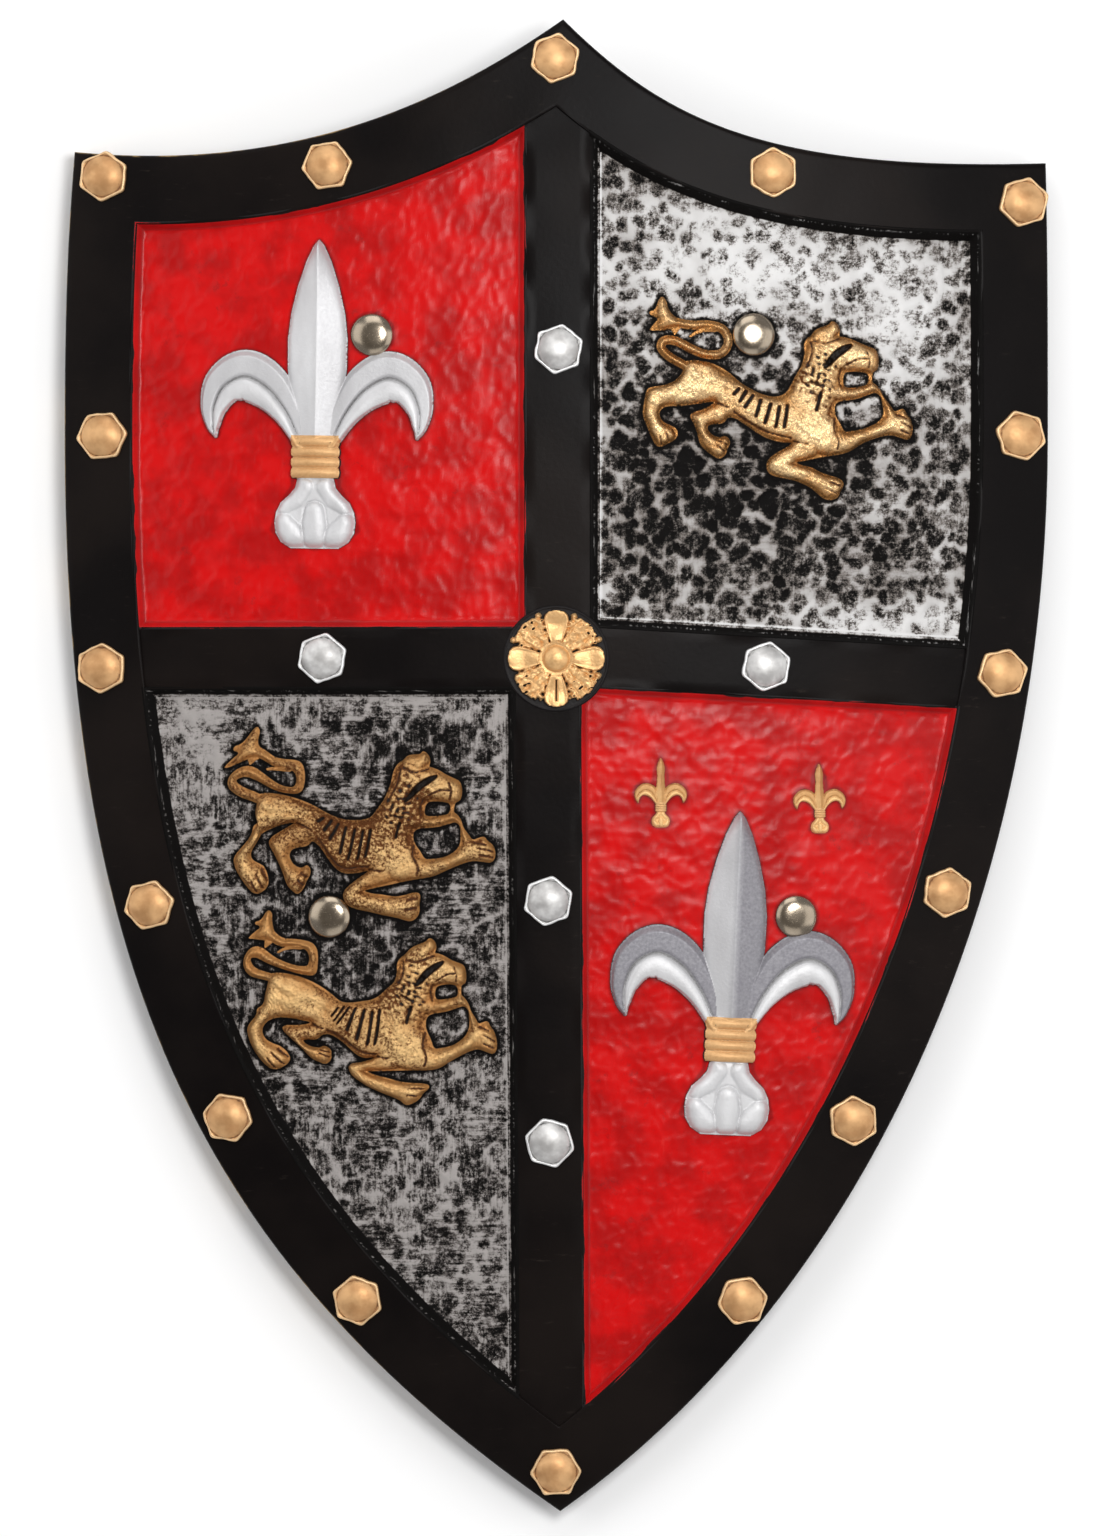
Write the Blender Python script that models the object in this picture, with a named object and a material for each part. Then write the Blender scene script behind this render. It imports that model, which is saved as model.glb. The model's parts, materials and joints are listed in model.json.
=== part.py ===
"""Knight's costume shield: a cambered foam moulding in relief, two straps behind it and four rivets.

The moulding is laid out flat, with its border's face at height 0, and is then laid on the camber.
Lengths are metres, +X is the shield's right as seen from the front, +Y its top and +Z its front.
"""

import math

import bmesh
import bpy
from mathutils import Vector
from mathutils.geometry import intersect_line_line_2d

# Outline and thickness
SHIELD_WIDTH = 0.3504
SHIELD_LENGTH = 0.530
EDGE_THICKNESS = 0.0122
EDGE_ROUND = 0.0016

# Camber: how far the middle stands above the sides, and how far up from the centre the crest lies
SIDE_DROP = 0.0250
CREST_UP = 0.100

# Border, arms of the cross and the sunk quarters
BORDER_WIDTH = 0.0247
PANEL_DEPTH = 0.0032
WALL_RUN = 0.0028
ARM_STEP = 0.0010
POST_WIDTH = 0.0245
BEAM_WIDTH = 0.0225
CROSS_UP = 0.0384

# Studs: a six-sided flange and a dome
STUD_ACROSS = 0.0185
STUD_FLANGE = 0.0016
DOME_DIAMETER = 0.0138
DOME_HEIGHT = 0.0046

# Rosette at the middle of the cross
ROSETTE_PAD = 0.0188
ROSETTE_PAD_RISE = 0.0004
ROSETTE_RADIUS = 0.0167
ROSETTE_RISE = 0.0032
ROSETTE_BUTTON = 0.0050
ROSETTE_BUTTON_RISE = 0.0040
ROSETTE_COLLAR = 0.00625
ROSETTE_COLLAR_RISE = 0.0018

# Figures, measured from the floor of the quarters
LILY_HEIGHT = 0.1120
LILY_RELIEF = 0.0046
SMALL_LILY_HEIGHT = 0.0246
SMALL_LILY_RELIEF = 0.0020
LION_LENGTH = 0.0967
LION_RELIEF = 0.0042
FIGURE_SINK = 0.0015

# Rivets, straps and the clearance between touching pieces
GAP = 0.0003
RIVET_CAP = 0.0150
RIVET_CAP_HEIGHT = 0.0031
RIVET_SHANK = 0.0040
RIVET_HEAD = 0.0110
RIVET_HEAD_HEIGHT = 0.0014
RIVET_SEAT = 0.0002
STRAP_THICKNESS = 0.0024
STRAP_FOOT = 0.0125
GRIP_WIDTH = 0.0250
GRIP_SPAN = 0.1358
GRIP_UP = 0.1532
GRIP_BOW = 0.0180
ARM_STRAP_WIDTH = 0.0320
ARM_STRAP_SPAN = 0.1663
ARM_STRAP_UP = -0.0532
ARM_STRAP_BOW = 0.0140
STRAPS_ASIDE = 0.0023

# How finely curves are divided
CURVE_STEPS = 60
BROW_SEGMENTS = 8
SIDE_SEGMENTS = 19
STUD_SIDES = 12
RIVET_SIDES = 12
PAD_SIDES = 20
STRAP_STEPS = 12
CAMBER_ERROR = 0.00016

HALF_WIDTH = SHIELD_WIDTH / 2
HALF_LENGTH = SHIELD_LENGTH / 2
PANEL = -PANEL_DEPTH
ARM = -ARM_STEP
BACK = -EDGE_THICKNESS

# Outline curves, as shares of the half width and half length, run anticlockwise from the top point
LEFT_BROW = ((0.014, 1.0), (-0.238, 0.883), (-0.541, 0.795), (-0.980, 0.826))
LEFT_SHOULDER = ((-0.980, 0.826), (-0.990, 0.740), (-1.0, 0.660), (-1.0, 0.446))
LEFT_FLANK = ((-1.0, 0.446), (-1.0, -0.283), (-0.723, -0.665), (0.008, -1.0))
RIGHT_FLANK = ((0.008, -1.0), (0.591, -0.727), (1.0, -0.206), (1.0, 0.446))
RIGHT_SHOULDER = ((1.0, 0.446), (1.0, 0.604), (1.0, 0.700), (0.996, 0.811))
RIGHT_BROW = ((0.996, 0.811), (0.417, 0.795), (0.216, 0.867), (0.014, 1.0))

# Border studs: the curve each stands on, how far along it, how far in as a share of the border,
# and the turn of its flange in degrees
BORDER_STUDS = (
    (LEFT_BROW, 0.063, 0.41, 20), (LEFT_BROW, 0.566, 0.46, 8), (LEFT_SHOULDER, 0.120, 0.47, 24),
    (LEFT_FLANK, 0.001, 0.57, 5), (LEFT_FLANK, 0.156, 0.41, 28), (LEFT_FLANK, 0.345, 0.51, 14),
    (LEFT_FLANK, 0.548, 0.45, 50), (LEFT_FLANK, 0.756, 0.44, 40), (LEFT_FLANK, 0.979, 0.45, 2),
    (RIGHT_FLANK, 0.260, 0.42, 10), (RIGHT_FLANK, 0.447, 0.51, 33), (RIGHT_FLANK, 0.652, 0.52, 22),
    (RIGHT_FLANK, 0.827, 0.44, 12), (RIGHT_FLANK, 0.999, 0.42, 45), (RIGHT_SHOULDER, 0.838, 0.36, 16),
    (RIGHT_BROW, 0.407, 0.43, 30),
)

# Arms of the cross: heading in degrees, sideways shift of the centre line, and the studs' places
# along the arm as shares of its length
ARMS = {
    "upper": (90.0, -0.0007, POST_WIDTH, (0.52,)),
    "left": (180.0, -0.0002, BEAM_WIDTH, (0.52,)),
    "lower": (270.3, -0.0033, POST_WIDTH, (0.30, 0.60)),
    "right": (-3.2, 0.0014, BEAM_WIDTH, (0.475,)),
}


def bezier(points, start=0.0, end=1.0, count=CURVE_STEPS):
    """Points on a cubic outline curve, in metres."""
    placed = [Vector((x * HALF_WIDTH, y * HALF_LENGTH)) for x, y in points]
    curve = []
    for step in range(count + 1):
        t = start + (end - start) * step / count
        weights = ((1 - t) ** 3, 3 * t * (1 - t) ** 2, 3 * t * t * (1 - t), t ** 3)
        curve.append(sum((w * p for w, p in zip(weights, placed)), Vector((0, 0))))
    return curve


OUTLINE_SIDES = (
    bezier(LEFT_BROW),
    bezier(LEFT_SHOULDER)[:-1] + bezier(LEFT_FLANK),
    bezier(RIGHT_FLANK)[:-1] + bezier(RIGHT_SHOULDER),
    bezier(RIGHT_BROW),
)
SEGMENTS = (BROW_SEGMENTS, SIDE_SEGMENTS, SIDE_SEGMENTS, BROW_SEGMENTS)


def left_of(direction):
    """The unit vector to the left of a direction in plan."""
    return Vector((-direction.y, direction.x)).normalized()


def shifted(side, distance):
    """A side moved to its left by a distance, each point square to the curve there."""
    last = len(side) - 1
    moved = []
    for index, point in enumerate(side):
        along = side[min(index + 1, last)] - side[max(index - 1, 0)]
        moved.append(point + distance * left_of(along))
    return moved


def crossing(first, second):
    """Where two sides cross: the index before it on each, and the point."""
    for i in range(len(first) - 1, 0, -1):
        for j in range(len(second) - 1):
            point = intersect_line_line_2d(first[i - 1], first[i], second[j], second[j + 1])
            if point is not None:
                return i - 1, j, Vector(point)
    raise ValueError("two neighbouring sides of the outline don't meet")


def spaced(points, segments):
    """A line's points again, at even steps along its length, without its last one."""
    lengths = [0.0]
    for before, after in zip(points, points[1:]):
        lengths.append(lengths[-1] + (after - before).length)
    even = []
    index = 0
    for step in range(segments):
        target = lengths[-1] * step / segments
        while lengths[index + 1] < target:
            index += 1
        share = (target - lengths[index]) / max(lengths[index + 1] - lengths[index], 1e-9)
        even.append(points[index].lerp(points[index + 1], share))
    return even


def outline(inset):
    """The shield's outline drawn in by a distance, its corners mitred."""
    sides = [shifted(side, inset) for side in OUTLINE_SIDES]
    if inset > 0:
        meets = [crossing(sides[k - 1], sides[k]) for k in range(4)]
        trimmed = []
        for k, side in enumerate(sides):
            start, end = meets[k], meets[(k + 1) % 4]
            trimmed.append([start[2]] + side[start[1] + 1:end[0] + 1] + [end[2]])
        sides = trimmed
    loop = []
    for side, segments in zip(sides, SEGMENTS):
        loop += spaced(side, segments)
    return loop


def loft(layers):
    """A closed solid through loops of equal length, each given with its height, from the back up."""
    bm = bmesh.new()
    rings = []
    for loop, height in layers:
        rings.append([bm.verts.new((point.x, point.y, height)) for point in loop])
    for lower, upper in zip(rings, rings[1:]):
        for k in range(len(lower)):
            bm.faces.new((lower[k - 1], lower[k], upper[k], upper[k - 1]))
    bm.faces.new(reversed(rings[0]))
    bm.faces.new(rings[-1])
    return bm


def circle(centre, radius, sides, turn=0.0):
    """A regular polygon whose corners lie on a circle."""
    angles = [turn + math.tau * k / sides for k in range(sides)]
    return [centre + radius * Vector((math.cos(a), math.sin(a))) for a in angles]


def turned(centre, profile, sides=RIVET_SIDES):
    """A solid turned about an upright axis, from radii and heights given from the back up."""
    return loft([(circle(centre, radius, sides), height) for radius, height in profile])


def smooth(knots, count):
    """Points on a smooth curve through knots of any number of values, at even parameter steps."""
    padded = [2 * Vector(knots[0]) - Vector(knots[1])] + [Vector(k) for k in knots]
    padded.append(2 * padded[-1] - padded[-2])
    curve = []
    for step in range(count + 1):
        place = (len(knots) - 1) * step / count
        index = min(int(place), len(knots) - 2)
        t = place - index
        a, b, c, d = padded[index:index + 4]
        curve.append(0.5 * (2 * b + (c - a) * t + (2 * a - 5 * b + 4 * c - d) * t * t
                            + (3 * b - a - 3 * c + d) * t ** 3))
    return curve


# Sections across a raised strip: shares of its half width and of its height
ROUND = ((-1.0, 0.0), (-0.80, 0.60), (0.0, 1.0), (0.80, 0.60), (1.0, 0.0))
FLAT_TOPPED = ((-1.0, 0.0), (-0.60, 0.90), (0.60, 0.90), (1.0, 0.0))
GABLE = ((-1.0, 0.35), (0.0, 1.0), (1.0, 0.35))


class Plan:
    """The plan of one figure: its size, and its foot's place and turn on the shield."""

    def __init__(self, size, foot, turn=0.0, relief=LION_RELIEF, floor=PANEL):
        self.size = size
        self.foot = Vector(foot)
        self.turn = math.radians(turn)
        self.relief = relief
        self.floor = floor

    def point(self, u, v):
        """A point of the figure, given as shares of its size, on the shield."""
        cos, sin = math.cos(self.turn), math.sin(self.turn)
        return self.foot + self.size * Vector((u * cos - v * sin, u * sin + v * cos))


def limb(plan, knots, count, profile=ROUND, relief=1.0):
    """A raised strip along a path: knots are places and half widths, as shares of the figure's size."""
    path = smooth(knots, count)
    height = plan.relief * relief
    bm = bmesh.new()
    rings = []
    for index, (u, v, half) in enumerate(path):
        before, after = path[max(index - 1, 0)], path[min(index + 1, count)]
        across = left_of(plan.point(after[0], after[1]) - plan.point(before[0], before[1]))
        centre = plan.point(u, v)
        reach = max(half, 0.004) * plan.size
        crown = height * min(1.0, 0.45 + 0.55 * reach / (0.05 * LION_LENGTH))
        ring = []
        for side, rise in profile:
            place = centre + across * side * reach
            ring.append(bm.verts.new((place.x, place.y, plan.floor + crown * rise)))
        for side in (profile[-1][0], profile[0][0]):
            place = centre + across * side * reach
            ring.append(bm.verts.new((place.x, place.y, plan.floor - FIGURE_SINK)))
        rings.append(ring)
    for first, second in zip(rings, rings[1:]):
        for k in range(len(first)):
            bm.faces.new((first[k - 1], first[k], second[k], second[k - 1]))
    bm.faces.new(rings[0])
    bm.faces.new(reversed(rings[-1]))
    bmesh.ops.recalc_face_normals(bm, faces=bm.faces[:])
    return bm


def stud(centre, turn, level):
    """One stud: a six-sided flange, a fine groove and a dome, as a single solid."""
    corners = circle(centre, STUD_ACROSS / 2, 6, math.radians(turn))
    flange = []
    for k in range(6):
        flange += [corners[k], (corners[k] + corners[(k + 1) % 6]) / 2]
    radius = DOME_DIAMETER / 2
    layers = [
        (flange, level - FIGURE_SINK),
        (flange, level + STUD_FLANGE),
    ]
    for share, rise in ((1.0, 0.30), (0.87, 0.66), (0.50, 0.95)):
        ring = circle(centre, radius * share, STUD_SIDES, math.radians(turn))
        layers.append((ring, level + DOME_HEIGHT * rise))
    return loft(layers)


def rosette(centre):
    """The rosette: a round pad, eight petals with raised middles and a domed button."""
    pad_top = ARM + ROSETTE_PAD_RISE
    pad = ((ROSETTE_PAD, ARM - FIGURE_SINK), (ROSETTE_PAD, pad_top))
    pieces = [turned(centre, pad, PAD_SIDES)]
    for k in range(8):
        reach = 1.0 if k % 2 == 0 else 0.93
        plan = Plan(ROSETTE_RADIUS * reach, centre, 45 * k - 90, ROSETTE_RISE, pad_top)
        petal = ((0.0, 0.24, 0.10), (0.0, 0.55, 0.22), (0.0, 0.82, 0.25), (0.0, 1.0, 0.10))
        pieces.append(limb(plan, petal, len(petal) - 1, GABLE))
    button = (
        (ROSETTE_COLLAR, ARM - FIGURE_SINK), (ROSETTE_COLLAR, ARM + ROSETTE_COLLAR_RISE),
        (ROSETTE_BUTTON, ARM + ROSETTE_BUTTON_RISE * 0.6),
        (ROSETTE_BUTTON * 0.5, ARM + ROSETTE_BUTTON_RISE),
    )
    pieces.append(turned(centre, button, STUD_SIDES))
    return pieces


# A lily's parts as shares of its height, its foot at the bottom: places and half widths
LILY_LEAF = (
    (0.0, 0.340, 0.060), (0.0, 0.46, 0.078), (0.0, 0.58, 0.093), (0.0, 0.680, 0.097),
    (0.0, 0.76, 0.088), (0.0, 0.85, 0.065), (0.0, 0.93, 0.036), (0.0, 1.0, 0.004),
)
LILY_PETAL = (
    (0.050, 0.350, 0.022), (0.100, 0.445, 0.052), (0.162, 0.523, 0.076), (0.244, 0.562, 0.084),
    (0.318, 0.528, 0.069), (0.356, 0.458, 0.042), (0.357, 0.395, 0.018), (0.351, 0.364, 0.004),
)
LILY_BAND = 0.140
LILY_FOOT = (
    (0.0, 0.235, 0.072), (0.0, 0.17, 0.086), (0.0, 0.10, 0.128), (0.0, 0.045, 0.120), (0.0, 0.0, 0.075),
)


def lily(plan, steps, cords):
    """A lily: a ridged upright leaf, two curled petals, a corded band and a lobed foot."""
    pieces = [limb(plan, LILY_LEAF, steps, GABLE, 1.0)]
    for side in (-1, 1):
        petal = [(side * u, v, half) for u, v, half in LILY_PETAL]
        pieces.append(limb(plan, petal, steps, GABLE, 0.82))
    pieces.append(limb(plan, LILY_FOOT, max(steps // 2, 3), FLAT_TOPPED, 0.80))
    thick = LILY_BAND / cords
    for cord in range(cords):
        rise = LILY_FOOT[0][1] + thick * (cord + 0.35)
        across = ((-0.083, rise, thick * 0.56), (0.083, rise, thick * 0.56))
        pieces.append(limb(plan, across, 1, FLAT_TOPPED, 1.12))
    return pieces


# A lion passant's limbs, in hundredths of its length from its box's lower left corner: places and
# half widths
LION_LIMBS = {
    "torso": ((13.6, 41.0, 3.4), (16.9, 42.1, 5.6), (22.9, 43.2, 7.9), (31.2, 40.2, 7.3), (38.0, 35.0, 7.1),
              (46.2, 30.8, 7.8), (56.0, 30.1, 8.6), (65.4, 27.1, 9.0), (69.5, 24.8, 6.0)),
    "mane": ((59.0, 31.6, 7.1), (62.8, 38.3, 8.6), (65.4, 45.1, 7.9), (66.9, 51.9, 7.1), (67.3, 57.1, 6.0)),
    "head": ((65.8, 52.6, 6.4), (71.8, 52.6, 5.9), (77.8, 52.6, 5.1), (83.1, 51.5, 4.1), (86.2, 51.1, 3.4)),
    "jaw": ((71.1, 39.1, 2.6), (78.2, 39.3, 2.0), (85.3, 41.2, 1.5)),
    "tongue": ((85.3, 41.0, 1.6), (90.8, 35.0, 1.6), (94.4, 31.6, 2.0)),
    "ear": ((63.5, 60.5, 3.0), (69.8, 62.1, 3.2), (70.3, 64.8, 1.4)),
    "raised_foreleg": ((69.5, 20.3, 3.9), (75.6, 21.1, 3.6), (81.6, 24.4, 3.2), (88.3, 26.7, 3.2),
                       (92.5, 28.2, 4.1), (96.2, 27.4, 5.1), (98.9, 27.1, 3.4)),
    "standing_foreleg": ((63.5, 24.1, 6.0), (56.0, 18.0, 4.3), (49.6, 12.8, 3.5), (53.8, 10.9, 2.9),
                         (60.5, 9.0, 3.0), (67.3, 6.0, 4.5), (71.0, 3.9, 3.6)),
    "far_hindleg": ((16.2, 41.4, 5.6), (8.6, 38.3, 3.5), (3.8, 38.0, 3.1), (2.6, 31.6, 2.7),
                    (4.0, 25.6, 3.0), (7.5, 22.9, 3.6), (10.9, 24.1, 2.4)),
    "near_hindleg": ((25.2, 36.1, 5.3), (23.7, 31.6, 4.5), (21.1, 28.6, 3.2), (22.2, 24.1, 2.7),
                     (25.6, 20.7, 3.6), (28.9, 21.1, 3.2)),
    "tail": ((16.2, 50.0, 1.6), (10.9, 52.6, 1.5), (6.8, 55.6, 1.4), (7.5, 58.3, 1.4), (12.4, 58.3, 1.4),
             (17.7, 56.0, 1.4), (23.7, 53.4, 1.5), (28.9, 53.0, 1.6), (32.0, 56.4, 1.5), (31.2, 60.9, 1.5),
             (27.4, 63.5, 1.4), (21.4, 64.3, 1.4), (13.9, 64.3, 2.0), (9.4, 65.4, 3.2), (7.5, 73.7, 0.9)),
    "tuft": ((11.7, 63.2, 1.8), (6.4, 62.8, 1.4), (2.6, 61.8, 0.7)),
    "barb": ((7.6, 66.8, 1.8), (3.0, 68.4, 0.6)),
}
LION_BULK = ("torso", "mane", "head")
LION_LIGHT = ("tail", "tuft", "barb", "tongue", "jaw", "ear")


def lion(plan):
    """A lion walking to the right with one forepaw raised and its tail looped over its back."""
    pieces = []
    for name, knots in LION_LIMBS.items():
        shares = [(u / 100, v / 100, half / 100) for u, v, half in knots]
        relief = 0.82
        if name in LION_BULK:
            relief = 1.0
        if name in LION_LIGHT:
            relief = 0.62
        profile = ROUND if name in LION_BULK else FLAT_TOPPED
        pieces.append(limb(plan, shares, len(knots) - 1, profile, relief))
    return pieces


CROSS_CENTRE = Vector((0.0, CROSS_UP))
MID_BORDER = outline(BORDER_WIDTH / 2)


def arm_line(name):
    """An arm's centre line: a point beside the middle of the cross and its heading."""
    angle, shift, width, _ = ARMS[name]
    heading = Vector((math.cos(math.radians(angle)), math.sin(math.radians(angle))))
    return CROSS_CENTRE + shift * left_of(heading), heading, width


def arm_end(name):
    """Where an arm's centre line meets the middle of the border."""
    start, heading, _ = arm_line(name)
    loop = MID_BORDER
    far = start + heading * SHIELD_LENGTH
    for k in range(len(loop)):
        point = intersect_line_line_2d(start, far, loop[k - 1], loop[k])
        if point is not None:
            return Vector(point)
    raise ValueError("an arm of the cross doesn't reach the border")


def cross(widen):
    """The cross's outline, each edge moved outwards by a distance."""
    edges = []
    for name in ("upper", "left", "lower", "right"):
        start, heading, width = arm_line(name)
        reach = width / 2 + widen
        edges.append((start - reach * left_of(heading), arm_end(name), start + reach * left_of(heading),
                      heading))
    loop = []
    for k, (right, end, left, heading) in enumerate(edges):
        stop = end.dot(heading)
        for side in (right, left):
            loop.append(side + heading * (stop - side.dot(heading)))
        next_right, _, _, next_heading = edges[(k + 1) % 4]
        det = heading.cross(next_heading)
        along = (next_right - left).cross(next_heading) / det
        loop.append(left + heading * along)
    return loop


LENGTH_CURVE = ((HALF_LENGTH + CREST_UP) ** 2
                - (LEFT_BROW[-1][1] * HALF_LENGTH - CREST_UP) ** 2) / (2 * SIDE_DROP)
WIDTH_CURVE = HALF_WIDTH ** 2 / (2 * SIDE_DROP)


def on_camber(point):
    """A point of the flat layout on the cambered shield, its height taken square to the face."""
    x, y, height = point
    along = y - CREST_UP
    base = Vector((x, y, -x * x / (2 * WIDTH_CURVE) - along * along / (2 * LENGTH_CURVE)))
    normal = Vector((x / WIDTH_CURVE, along / LENGTH_CURVE, 1.0)).normalized()
    return base + height * normal


def cut_to_cells(bm):
    """Cut a flat solid's broad faces into cells small enough to follow the camber."""
    bmesh.ops.dissolve_limit(bm, angle_limit=math.radians(0.3), verts=bm.verts[:], edges=bm.edges[:])
    for axis, half, curve in ((0, HALF_WIDTH, WIDTH_CURVE), (1, HALF_LENGTH, LENGTH_CURVE)):
        cells = math.ceil(2 * half / math.sqrt(8 * curve * CAMBER_ERROR))
        cell = 2 * half / cells
        normal = Vector((1, 0, 0)) if axis == 0 else Vector((0, 1, 0))
        for k in range(1, cells):
            broad = []
            for face in bm.faces:
                places = [vert.co[axis] for vert in face.verts]
                if max(places) - min(places) > cell / 2:
                    broad.append(face)
            edges = {edge for face in broad for edge in face.edges}
            verts = {vert for face in broad for vert in face.verts}
            geometry = sorted(verts, key=lambda v: v.index) + sorted(edges, key=lambda e: e.index) + broad
            place = normal * (k * cell - half)
            bmesh.ops.bisect_plane(bm, geom=geometry, dist=1e-6, plane_co=place, plane_no=normal)
            bm.verts.index_update()
            bm.edges.index_update()


def collection_of(solids, name):
    """Solids as objects in a collection of their own."""
    group = bpy.data.collections.new(name)
    bpy.context.scene.collection.children.link(group)
    for index, bm in enumerate(solids):
        mesh = bpy.data.meshes.new(f"{name}_{index}")
        bm.to_mesh(mesh)
        bm.free()
        group.objects.link(bpy.data.objects.new(mesh.name, mesh))
    return group


def combined(base, joined, cut):
    """A solid with others joined to it and others cut out of it, as a bmesh."""
    groups = [collection_of([base], "base"), collection_of(joined, "joined"), collection_of(cut, "cut")]
    carrier = groups[0].objects[0]
    for group, operation in zip(groups[1:], ("UNION", "DIFFERENCE")):
        if group.objects:
            boolean = carrier.modifiers.new(operation.title(), "BOOLEAN")
            boolean.operation = operation
            boolean.operand_type = "COLLECTION"
            boolean.collection = group
            boolean.solver = "EXACT"
    evaluated = carrier.evaluated_get(bpy.context.evaluated_depsgraph_get())
    result = bmesh.new()
    result.from_mesh(evaluated.to_mesh())
    evaluated.to_mesh_clear()
    for group in groups:
        for item in group.objects[:]:
            bpy.data.objects.remove(item)
        bpy.data.collections.remove(group)
    return result


def material(name, colour, roughness, metallic):
    """A plain finish for one sub-part."""
    finish = bpy.data.materials.new(name)
    finish.use_nodes = True
    shader = finish.node_tree.nodes["Principled BSDF"]
    shader.inputs["Base Color"].default_value = (*colour, 1.0)
    shader.inputs["Roughness"].default_value = roughness
    shader.inputs["Metallic"].default_value = metallic
    return finish


def add_object(name, bm, finish, smooth_angle=30.0):
    """Lay a flat solid on the camber and add it to the scene."""
    bmesh.ops.triangulate(bm, faces=bm.faces[:])
    for vert in bm.verts:
        vert.co = on_camber(vert.co)
    mesh = bpy.data.meshes.new(name)
    bm.to_mesh(mesh)
    bm.free()
    mesh.materials.append(finish)
    mesh.shade_smooth()
    mesh.set_sharp_from_angle(angle=math.radians(smooth_angle))
    added = bpy.data.objects.new(name, mesh)
    bpy.context.scene.collection.objects.link(added)
    return added


def plate():
    """The blank of the moulding, its front edge rounded off."""
    return loft([(outline(0), BACK), (outline(0), -EDGE_ROUND), (outline(EDGE_ROUND), 0.0)])


def field_cutter():
    """What is sunk inside the border, with a sloping wall."""
    above = ARM_STEP
    return loft([
        (outline(BORDER_WIDTH + WALL_RUN), PANEL),
        (outline(BORDER_WIDTH - WALL_RUN * above / PANEL_DEPTH), above),
    ])


def raised_cross():
    """The cross, with sloping sides, rooted below the floor of the quarters."""
    depth = PANEL_DEPTH + FIGURE_SINK
    spread = WALL_RUN * (depth - ARM_STEP) / PANEL_DEPTH
    return loft([(cross(spread), -depth), (cross(0.0), ARM)])


def studs():
    """The studs of the border and of the cross's arms."""
    solids = []
    for curve, along, inset, turn in BORDER_STUDS:
        before, place, after = bezier(curve, along - 0.002, along + 0.002, 2)
        centre = place + inset * BORDER_WIDTH * left_of(after - before)
        solids.append(stud(centre, turn, 0.0))
    for name, (_, _, _, places) in ARMS.items():
        start = arm_line(name)[0]
        for index, share in enumerate(places):
            solids.append(stud(start.lerp(arm_end(name), share), 20 + 25 * index, ARM))
    return solids


def figures():
    """The lilies and lions of the four quarters, at shares of the shield's half sizes."""
    def at(x, y):
        return (x * HALF_WIDTH, y * HALF_LENGTH)

    solids = lily(Plan(LILY_HEIGHT * 0.978, at(-0.490, 0.287), 1.0, LILY_RELIEF), 7, 3)
    solids += lily(Plan(LILY_HEIGHT * 1.027, at(0.350, -0.500), -1.6, LILY_RELIEF), 7, 3)
    solids += lily(Plan(SMALL_LILY_HEIGHT, at(0.212, -0.081), 0.0, SMALL_LILY_RELIEF), 4, 1)
    solids += lily(Plan(SMALL_LILY_HEIGHT, at(0.536, -0.089), 1.0, SMALL_LILY_RELIEF), 4, 1)
    solids += lion(Plan(LION_LENGTH, at(0.177, 0.352)))
    solids += lion(Plan(LION_LENGTH * 0.982, at(-0.668, -0.210), -1.0))
    solids += lion(Plan(LION_LENGTH * 0.945, at(-0.637, -0.459), -1.0))
    return solids


# Straps: the span between a strap's rivets, its height on the shield, its width and its bow
STRAPS = {
    "hand_grip": (GRIP_SPAN, GRIP_UP, GRIP_WIDTH, GRIP_BOW),
    "arm_strap": (ARM_STRAP_SPAN, ARM_STRAP_UP, ARM_STRAP_WIDTH, ARM_STRAP_BOW),
}
RIVETS = {}
for strap_name, row in (("hand_grip", "upper"), ("arm_strap", "lower")):
    span, up = STRAPS[strap_name][:2]
    RIVETS[f"rivet_{row}_left"] = Vector((STRAPS_ASIDE - span / 2, up))
    RIVETS[f"rivet_{row}_right"] = Vector((STRAPS_ASIDE + span / 2, up))

SEAT = PANEL - RIVET_SEAT
STRAP_TOP = BACK - GAP
STRAP_UNDER = STRAP_TOP - STRAP_THICKNESS


def rivet_bore(centre, top):
    """The hole of a rivet's shank, from behind the straps up to a height."""
    radius = RIVET_SHANK / 2 + GAP
    return turned(centre, ((radius, STRAP_UNDER - GAP - FIGURE_SINK), (radius, top)))


def rivet_seat(centre):
    """The hole of a rivet in the moulding, with the place its cap is pressed into."""
    bore = RIVET_SHANK / 2 + GAP
    cap = RIVET_CAP / 2 + GAP
    above = LION_RELIEF + PANEL_DEPTH
    return turned(centre, ((bore, BACK - FIGURE_SINK), (bore, SEAT), (cap, SEAT), (cap, above)))


def rivet(centre):
    """A rivet: a domed cap with a rolled edge, a shank and a flat head behind the strap."""
    cap, shank, head = RIVET_CAP / 2, RIVET_SHANK / 2, RIVET_HEAD / 2
    under = STRAP_UNDER - GAP
    base = SEAT + GAP
    profile = (
        (head * 0.80, under - RIVET_HEAD_HEIGHT), (head, under),
        (shank, under), (shank, base), (cap * 0.95, base), (cap, base + RIVET_CAP_HEIGHT * 0.20),
        (cap * 0.84, base + RIVET_CAP_HEIGHT * 0.70), (cap * 0.42, base + RIVET_CAP_HEIGHT),
    )
    return turned(centre, profile)


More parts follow.
